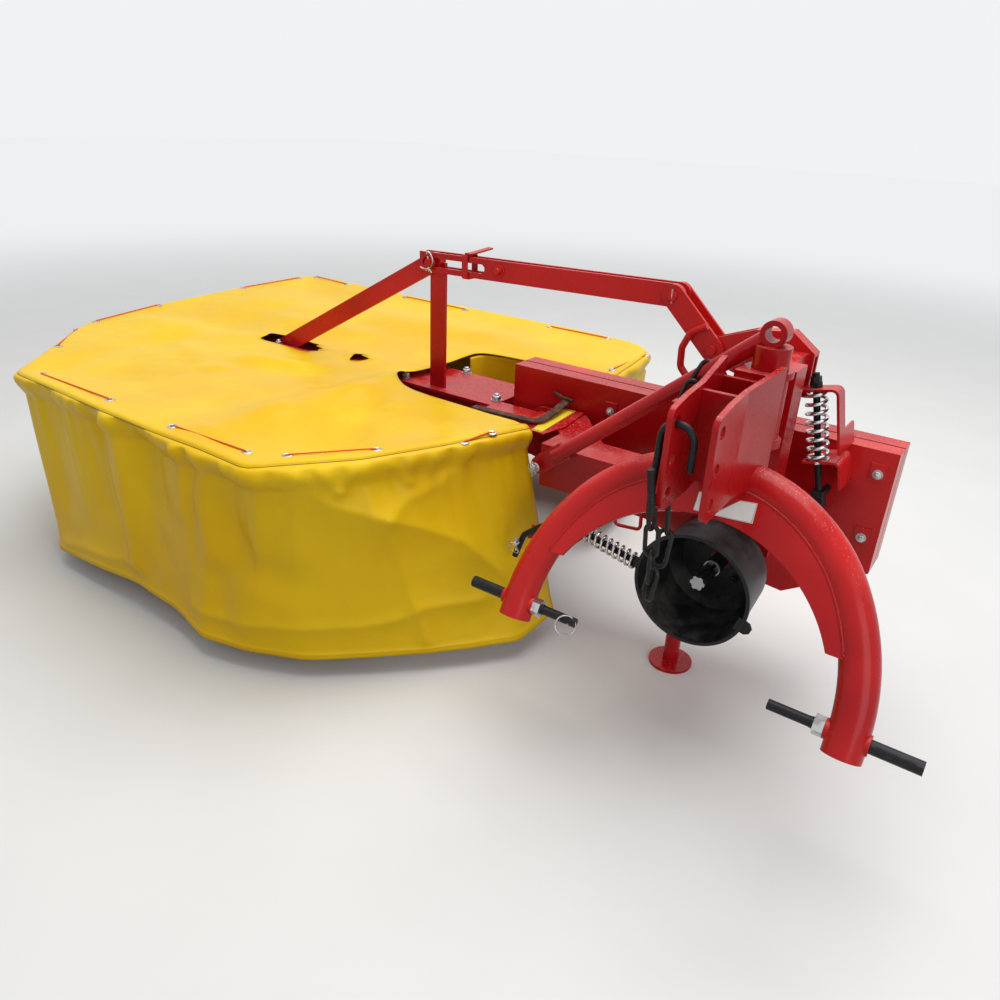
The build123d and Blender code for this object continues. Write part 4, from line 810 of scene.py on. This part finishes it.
addPiece("lever_clip", fromHitch(points), faces, "zincPlate", "lift_lever")
print("pins and clips made")

# clamp that slides on the two slotted bars, with its handle bar on top
clampShape = {"along": 132, "wide": 21, "thick": 4.5}
linkRise = np.arctan2(985 - 966, -326 + 1116)
linkWay = np.array([np.cos(linkRise), 0, np.sin(linkRise)])
linkUp = np.array([-np.sin(linkRise), 0, np.cos(linkRise)])
clampCentre = np.array([-1116, 580, 966]) + clampShape["along"] * linkWay
loopFlat = np.array([[-24, -33], [24, -33], [24, 33], [-24, 33]])
clampLoop = clampCentre + loopFlat[:, :1] * np.array([0, 1, 0]) + loopFlat[:, 1:] * linkUp
handle = clampCentre + linkUp * 38 + np.array([[10, -24, 0], [10, 0, 0], [14, 42, 4], [18, 78, 8]])
points, faces = joined([swept(bentPath(clampLoop, 7, closed=True), flat(clampShape["thick"], clampShape["wide"])[:, ::-1],
                              linkWay, closed=True), swept(bentPath(handle, 12), flat(20, 5), (1, 0, 0))])
addPiece("link_clamp", fromHitch(points), faces, "redPaint", "lift_link")

# thin cap plate on the end of the beam, and the foot of the slanted bar below the slit with its bolt
capPlan = [[-664, 606], [-664, 468], [-622, 384], [-572, 384], [-556, 470], [-574, 606]]
points, faces = slab(capPlan, 4.6, (0, 0, 602.7), (1, 0, 0), (0, 1, 0))
addPiece("beam_cap", fromHitch(points), faces, "redPaint", "swing_frame")
footPlan = [[-1862, 531], [-1664, 531], [-1664, 563], [-1862, 563]]
points, faces = slab(footPlan, 8, (0, 0, 582), (1, 0, 0), (0, 1, 0))
addPiece("slant_foot", fromHitch(points), faces, "redPaint", "cutter_unit")
points, faces = nut(np.array([-1828, 548, 586]), (0, 0, 1), 19, 9, 26, 6, 6)
addPiece("foot_nut", fromHitch(points), faces, "zincPlate", "cutter_unit")

# loose key for the blades, a bent flat bar that lies across the beam
keyPath = bentPath([[-838, 424, 609], [-720, 426, 611], [-622, 432, 613], [-624, 520, 619], [-634, 600, 628]], 26, 9)
keyEnd = [[-680, 602, 644], [-646, 603, 637], [-614, 603, 633]]
points, faces = joined([swept(keyPath, flat(7, 26, 2), (0, 0, 1)), swept(keyEnd, flat(7, 12, 2), (0, 0, 1))])
addPiece("blade_key", fromHitch(points), faces, "brownSteel", "swing_frame")
print("clamp and key made")

# bent wire that carries the latch, red like the frame
wireLoop = bentPath([[-250, 205, 540], [-247, 202, 512], [-181, 200, 520], [-184, 202, 566]], 12)
hookTab = slab([[-20, -16], [16, -16], [22, 14], [-12, 22]], 6, (-478, 222, 402), (1, 0, 0.3), (0, 0.2, 1))
points, faces = joined([swept(wireLoop, circle(4.2, 10), (0, 1, 0)), hookTab])
addPiece("latch_wire", fromHitch(points), faces, "redPaint", "swing_frame")

# ear on the rim of the shaft's guard
earSpot = np.array([-24 + 138 * np.cos(-0.32), 156, 440 + 138 * np.sin(-0.32)])
points, faces = joined([slab([[-20, -17], [6, -15], [15, -6], [15, 6], [6, 15], [-20, 17]], 6, earSpot,
                             (np.cos(-0.32), 0, np.sin(-0.32)), (-np.sin(-0.32), 0, np.cos(-0.32)))])
addPiece("guard_ear", fromHitch(points), faces, "blackPlastic", "swing_frame")

# weld beads along the arch, where the crescent plate meets the tube, in the arch's own plane
beadShape = {"inside": 25.5, "ahead": 28.0, "radius": 3.4, "low": 142}
archLean = np.radians(28)
sideShift = 470 - 372.0
crownRadius = (470 ** 2 - sideShift ** 2 - 418 ** 2) / (2 * (470 - 418))
meeting = np.arctan2(418 - crownRadius, sideShift)
lowest = np.arcsin(beadShape["low"] / (470 - beadShape["inside"]))
sideTurn = np.linspace(lowest, meeting, 120)
crownTurn = np.linspace(meeting, np.pi - meeting, 260)[1:-1]
sideReach, crownReach = 470 - beadShape["inside"], crownRadius - beadShape["inside"]
halfRun = np.stack([-sideShift + sideReach * np.cos(sideTurn), sideReach * np.sin(sideTurn)], axis=1)
crownRun = np.stack([crownReach * np.cos(crownTurn), 418 - crownRadius + crownReach * np.sin(crownTurn)], axis=1)
beadRun = np.concatenate([halfRun, crownRun, halfRun[::-1] * [-1, 1]])
beadWobble = np.random.default_rng(3).normal(size=(len(beadRun), 2)) * 0.5
beadRun = beadRun + beadWobble
beadPath = np.stack([beadRun[:, 0], beadRun[:, 1] * np.sin(archLean) - beadShape["ahead"] * np.cos(archLean),
                     350 + beadRun[:, 1] * np.cos(archLean) + beadShape["ahead"] * np.sin(archLean)], axis=1)
kingBeads = [ringWire((15, 300, z), (0, 0, 1), 43, 2.6, 60) for z in (776, 909)]
points, faces = swept(beadPath, circle(beadShape["radius"], 8), (0, -np.cos(archLean), np.sin(archLean)))
addPiece("arch_beads", fromHitch(points), faces, "redPaint", "hitch_frame")
points, faces = joined(kingBeads)
addPiece("post_beads", fromHitch(points), faces, "redPaint", "swing_frame")
print("beads made")


# blank stickers: quads a hair above what carries them, four corners each
def sticker(name, corners, outward, look, body):
    # point = blend of the four corners over a grid, lifted outwards
    corners, outward = np.asarray(corners, float), np.asarray(outward, float) / np.linalg.norm(outward)
    u, v = np.meshgrid(np.linspace(0, 1, 13), np.linspace(0, 1, 9), indexing="ij")
    u, v = u[..., None], v[..., None]
    points = (1 - u) * (1 - v) * corners[0] + u * (1 - v) * corners[1] + u * v * corners[2] + (1 - u) * v * corners[3]
    ends = points + outward * 0.4
    uv = np.concatenate([u, v], axis=2)
    piece = addPiece(name, fromHitch(ends), gridFaces(13, 9), look, body, uv, solid=False)
    normal = np.cross(corners[1] - corners[0], corners[3] - corners[0]) @ outward
    if normal > 0:
        piece.data.flip_normals()
    return piece


webOut = (0, -np.cos(archLean), np.sin(archLean))
onWeb = lambda x, rise: [x, rise * np.sin(archLean) - 29.2 * np.cos(archLean), 350 + rise * np.cos(archLean) + 29.2 * np.sin(archLean)]
sticker("web_sticker_right", [onWeb(2, 322), onWeb(88, 329), onWeb(85, 371), onWeb(50.5, 367)], webOut, "whiteLabel", "hitch_frame")
sticker("web_sticker_left", [onWeb(-36.5, 321), onWeb(-20, 321), onWeb(-30, 362), onWeb(-36.5, 361)], webOut, "whiteLabel", "hitch_frame")
sticker("beam_sticker", [[-612, 386, 605.2], [-582, 388, 605.2], [-600, 600, 605.2], [-658, 592, 605.2]], (0, 0, 1),
        "yellowLabel", "swing_frame")
print("stickers made")

# eyelets of the cover and the one cord that laces it: pairs of eyelets, x y and x y
eyeletPairs = np.array([
    [-648, 251, -673, 164], [-791, -29, -933, -187], [-1018, -237, -1283, -256], [-1585, -245, -1951, -244],
    [-2187, -66, -2378, 105], [-2402, 190, -2468, 490], [-2505, 933, -2515, 1262], [-2480, 1340, -2278, 1340],
    [-1914, 1340, -1577, 1340], [-1158, 1340, -900, 1340], [-703, 1270, -690, 992]])
sheetTop = canvasPoints[:, :topCount + 8].reshape(-1, 3)


def sheetHeight(places):
    # height of the nearest point of the sheet
    apart = ((np.asarray(places)[:, None, :2] - sheetTop[None, :, :2]) ** 2).sum(axis=2)
    return sheetTop[apart.argmin(axis=1), 2]


eyelets = eyeletPairs.reshape(-1, 2)
eyeletHigh = sheetHeight(eyelets)
eyeletRows = [[7, -1.5], [7, 1.8], [10.2, 3.2], [14, 1.6], [14.5, -0.5], [14, -1.5]]
eyeletParts = []
for (x, y), z in zip(eyelets, eyeletHigh):
    ringPoints, ringFaces = turned(eyeletRows + eyeletRows[:1], (x, y, z + 0.8), (0, 0, 1), 20)
    eyeletParts.append((ringPoints, ringFaces))
points, faces = joined(eyeletParts)
addPiece("cover_eyelets", fromHitch(points), faces, "zincPlate", "cutter_unit")
# black discs under the eyelets' holes: painted shade, standing for the dark space seen through each hole
holeShadeRows = [[0.01, 0.3], [7.4, 0.3], [7.4, -1.2], [0.01, -1.2]]
points, faces = joined([turned(holeShadeRows + holeShadeRows[:1], (x, y, z + 0.8), (0, 0, 1), 20) for (x, y), z in zip(eyelets, eyeletHigh)])
addPiece("eyelet_hole_shade", fromHitch(points), faces, "blackPlastic", "cutter_unit")

laceShape = {"diameter": 0.0042, "above": 4.5, "below": -9.0}
lacePoints = []
for (x0, y0, x1, y1), z0, z1 in zip(eyeletPairs, eyeletHigh[::2], eyeletHigh[1::2]):
    way = np.array([x1 - x0, y1 - y0]) / np.hypot(x1 - x0, y1 - y0)
    low, high = laceShape["below"], laceShape["above"]
    lacePoints += [[x0 - 12 * way[0], y0 - 12 * way[1], z0 + low], [x0, y0, z0 + low], [x0, y0, z0 + high],
                   [x0 + 14 * way[0], y0 + 14 * way[1], z0 + high], [x1 - 14 * way[0], y1 - 14 * way[1], z1 + high],
                   [x1, y1, z1 + high], [x1, y1, z1 + low], [x1 + 12 * way[0], y1 + 12 * way[1], z1 + low]]
laceRoute = fromHitch(lacePoints)
laceData = bpy.data.curves.new("cover_lace", "CURVE")
laceData.dimensions = "3D"
laceSpline = laceData.splines.new("NURBS")
laceSpline.points.add(len(laceRoute) - 1)
laceSpline.points.foreach_set("co", np.concatenate([laceRoute, np.ones((len(laceRoute), 1))], axis=1).ravel())
laceSpline.order_u = 3
laceSpline.use_endpoint_u = True
laceSpline.resolution_u = 6
laceData.bevel_depth = laceShape["diameter"] / 2
laceData.bevel_resolution = 2
laceData.use_fill_caps = True
laceData.materials.append(looks["laceRubber"])
lace = bpy.data.objects.new("cover_lace", laceData)
bpy.context.scene.collection.objects.link(lace)
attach(lace, "cutter_unit")
laceLength = float(np.linalg.norm(np.diff(laceRoute, axis=0), axis=1).sum())
print("lace runs", round(laceLength, 3))
print("lace made")

# flap of the sheet that hangs inside the notch, from its rear edge
flapShape = {"rows": 14, "columns": 60, "low": 478, "thick": 0.0012}
flapEdge = bentPath([[-1186, 860, 598], [-1174, 912, 600], [-1100, 930, 602], [-985, 942, 604], [-850, 938, 605], [-700, 925, 606]], 30, 9)
runs = np.concatenate([[0], np.cumsum(np.linalg.norm(np.diff(flapEdge, axis=0), axis=1))])
evenRun = np.linspace(0, runs[-1], flapShape["columns"])
edgeLine = np.stack([np.interp(evenRun, runs, column) for column in flapEdge.T], axis=1)
fall = np.linspace(0, 1, flapShape["rows"])
flapPoints = np.repeat(edgeLine[:, None], flapShape["rows"], axis=1)
flapPoints[..., 2] += (flapShape["low"] - edgeLine[:, None, 2]) * fall
flapPoints[..., 1] += 6 * np.sin(evenRun / 55)[:, None] * fall + 5 * fall
flapUv = np.stack(np.broadcast_arrays(evenRun[:, None] * 0.001, 0.2 + fall[None] * 0.13), axis=2)
flap = addPiece("notch_flap", fromHitch(flapPoints), gridFaces(flapShape["columns"], flapShape["rows"]), "yellowCanvas",
                "cutter_unit", flapUv, 180.0, solid=False)
flapThick = flap.modifiers.new("thickness", "SOLIDIFY")
flapThick.thickness = flapShape["thick"]
print("flap made")

# floor, world and lamps
lightSettings = {"key": 232, "fill": 55, "world": 0.46}


def seenPlain(wire):
    # 1 on what the lens sees straight, in polished metal or through glass, and 0 on light that is thrown back
    straight, mirrored, through = (wire.node("ShaderNodeLightPath", {}, {}, f"Is {ray} Ray")
                                   for ray in ("Camera", "Glossy", "Transmission"))
    return wire.calc("MINIMUM", straight + mirrored + through, 1.0)


floorMaterial = bpy.data.materials.new("floorPale")
floorMaterial.use_nodes = True
floorMaterial.node_tree.nodes.clear()
floorWire = Wire(floorMaterial.node_tree)
floorCoords = floorWire.node("ShaderNodeTexCoord", {}, {}, "Object")
floorNoise = noise(floorWire, floorCoords, 3.0, 4.0)
floorColour = mixColour(floorWire, floorNoise, (0.72, 0.72, 0.71, 1), (0.78, 0.78, 0.77, 1))
# the floor is seen pale, and throws less light back at the machine
floorSeen = seenPlain(floorWire)
floorColour = mixColour(floorWire, floorSeen, (0.30, 0.30, 0.29, 1), floorColour)
floorShader = floorWire.node("ShaderNodeBsdfPrincipled", {}, {"Base Color": floorColour, "Roughness": 0.7})
# far from the machine it fades into the pale background
farAway = smooth(floorWire.node("ShaderNodeVectorMath", {"operation": "LENGTH"}, {0: floorCoords}, 1), 2.6, 9.0)
farGlow = floorWire.node("ShaderNodeEmission", {}, {"Color": (0.86, 0.87, 0.88, 1), "Strength": 1.0})
floorFaded = floorWire.node("ShaderNodeMixShader", {}, {0: farAway * floorSeen, 1: floorShader, 2: farGlow})
floorWire.node("ShaderNodeOutputMaterial", {}, {"Surface": floorFaded})
floorMesh = bpy.data.meshes.new("floor")
floorMesh.from_pydata([(-30, -30, 0), (30, -30, 0), (30, 30, 0), (-30, 30, 0)], [], [(0, 1, 2, 3)])
floorMesh.materials.append(floorMaterial)
floor = bpy.data.objects.new("floor", floorMesh)
bpy.context.scene.collection.objects.link(floor)

world = bpy.data.worlds.new("world")
world.use_nodes = True
bpy.context.scene.world = world
background = world.node_tree.nodes["Background"]
background.inputs["Color"].default_value = (0.98, 0.99, 1.0, 1)
worldWire = Wire(world.node_tree)
worldPower = seenPlain(worldWire) * (0.9 - lightSettings["world"]) + lightSettings["world"]
world.node_tree.links.new(worldPower.socket, background.inputs["Strength"])


def areaLamp(name, place, target, size, power):
    data = bpy.data.lights.new(name, "AREA")
    data.shape = "RECTANGLE"
    data.size, data.size_y = size
    data.energy = power
    lamp = bpy.data.objects.new(name, data)
    side, other, back = frameOf(np.array(place) - np.array(target))
    pose = np.eye(4)
    pose[:3, :3] = np.stack([side, other, back], axis=1)
    pose[:3, 3] = place
    lamp.matrix_world = Matrix(pose.tolist())
    bpy.context.scene.collection.objects.link(lamp)
    return lamp


areaLamp("keyLamp", (0.5, 0.8, 5.0), (-0.2, 0.0, 0.3), (5.0, 4.0), lightSettings["key"])
areaLamp("fillLamp", (4.5, -3.0, 2.5), (0.2, 0.0, 0.4), (3.0, 3.0), lightSettings["fill"])
bpy.context.scene.view_settings.view_transform = "Standard"
print("stage set")
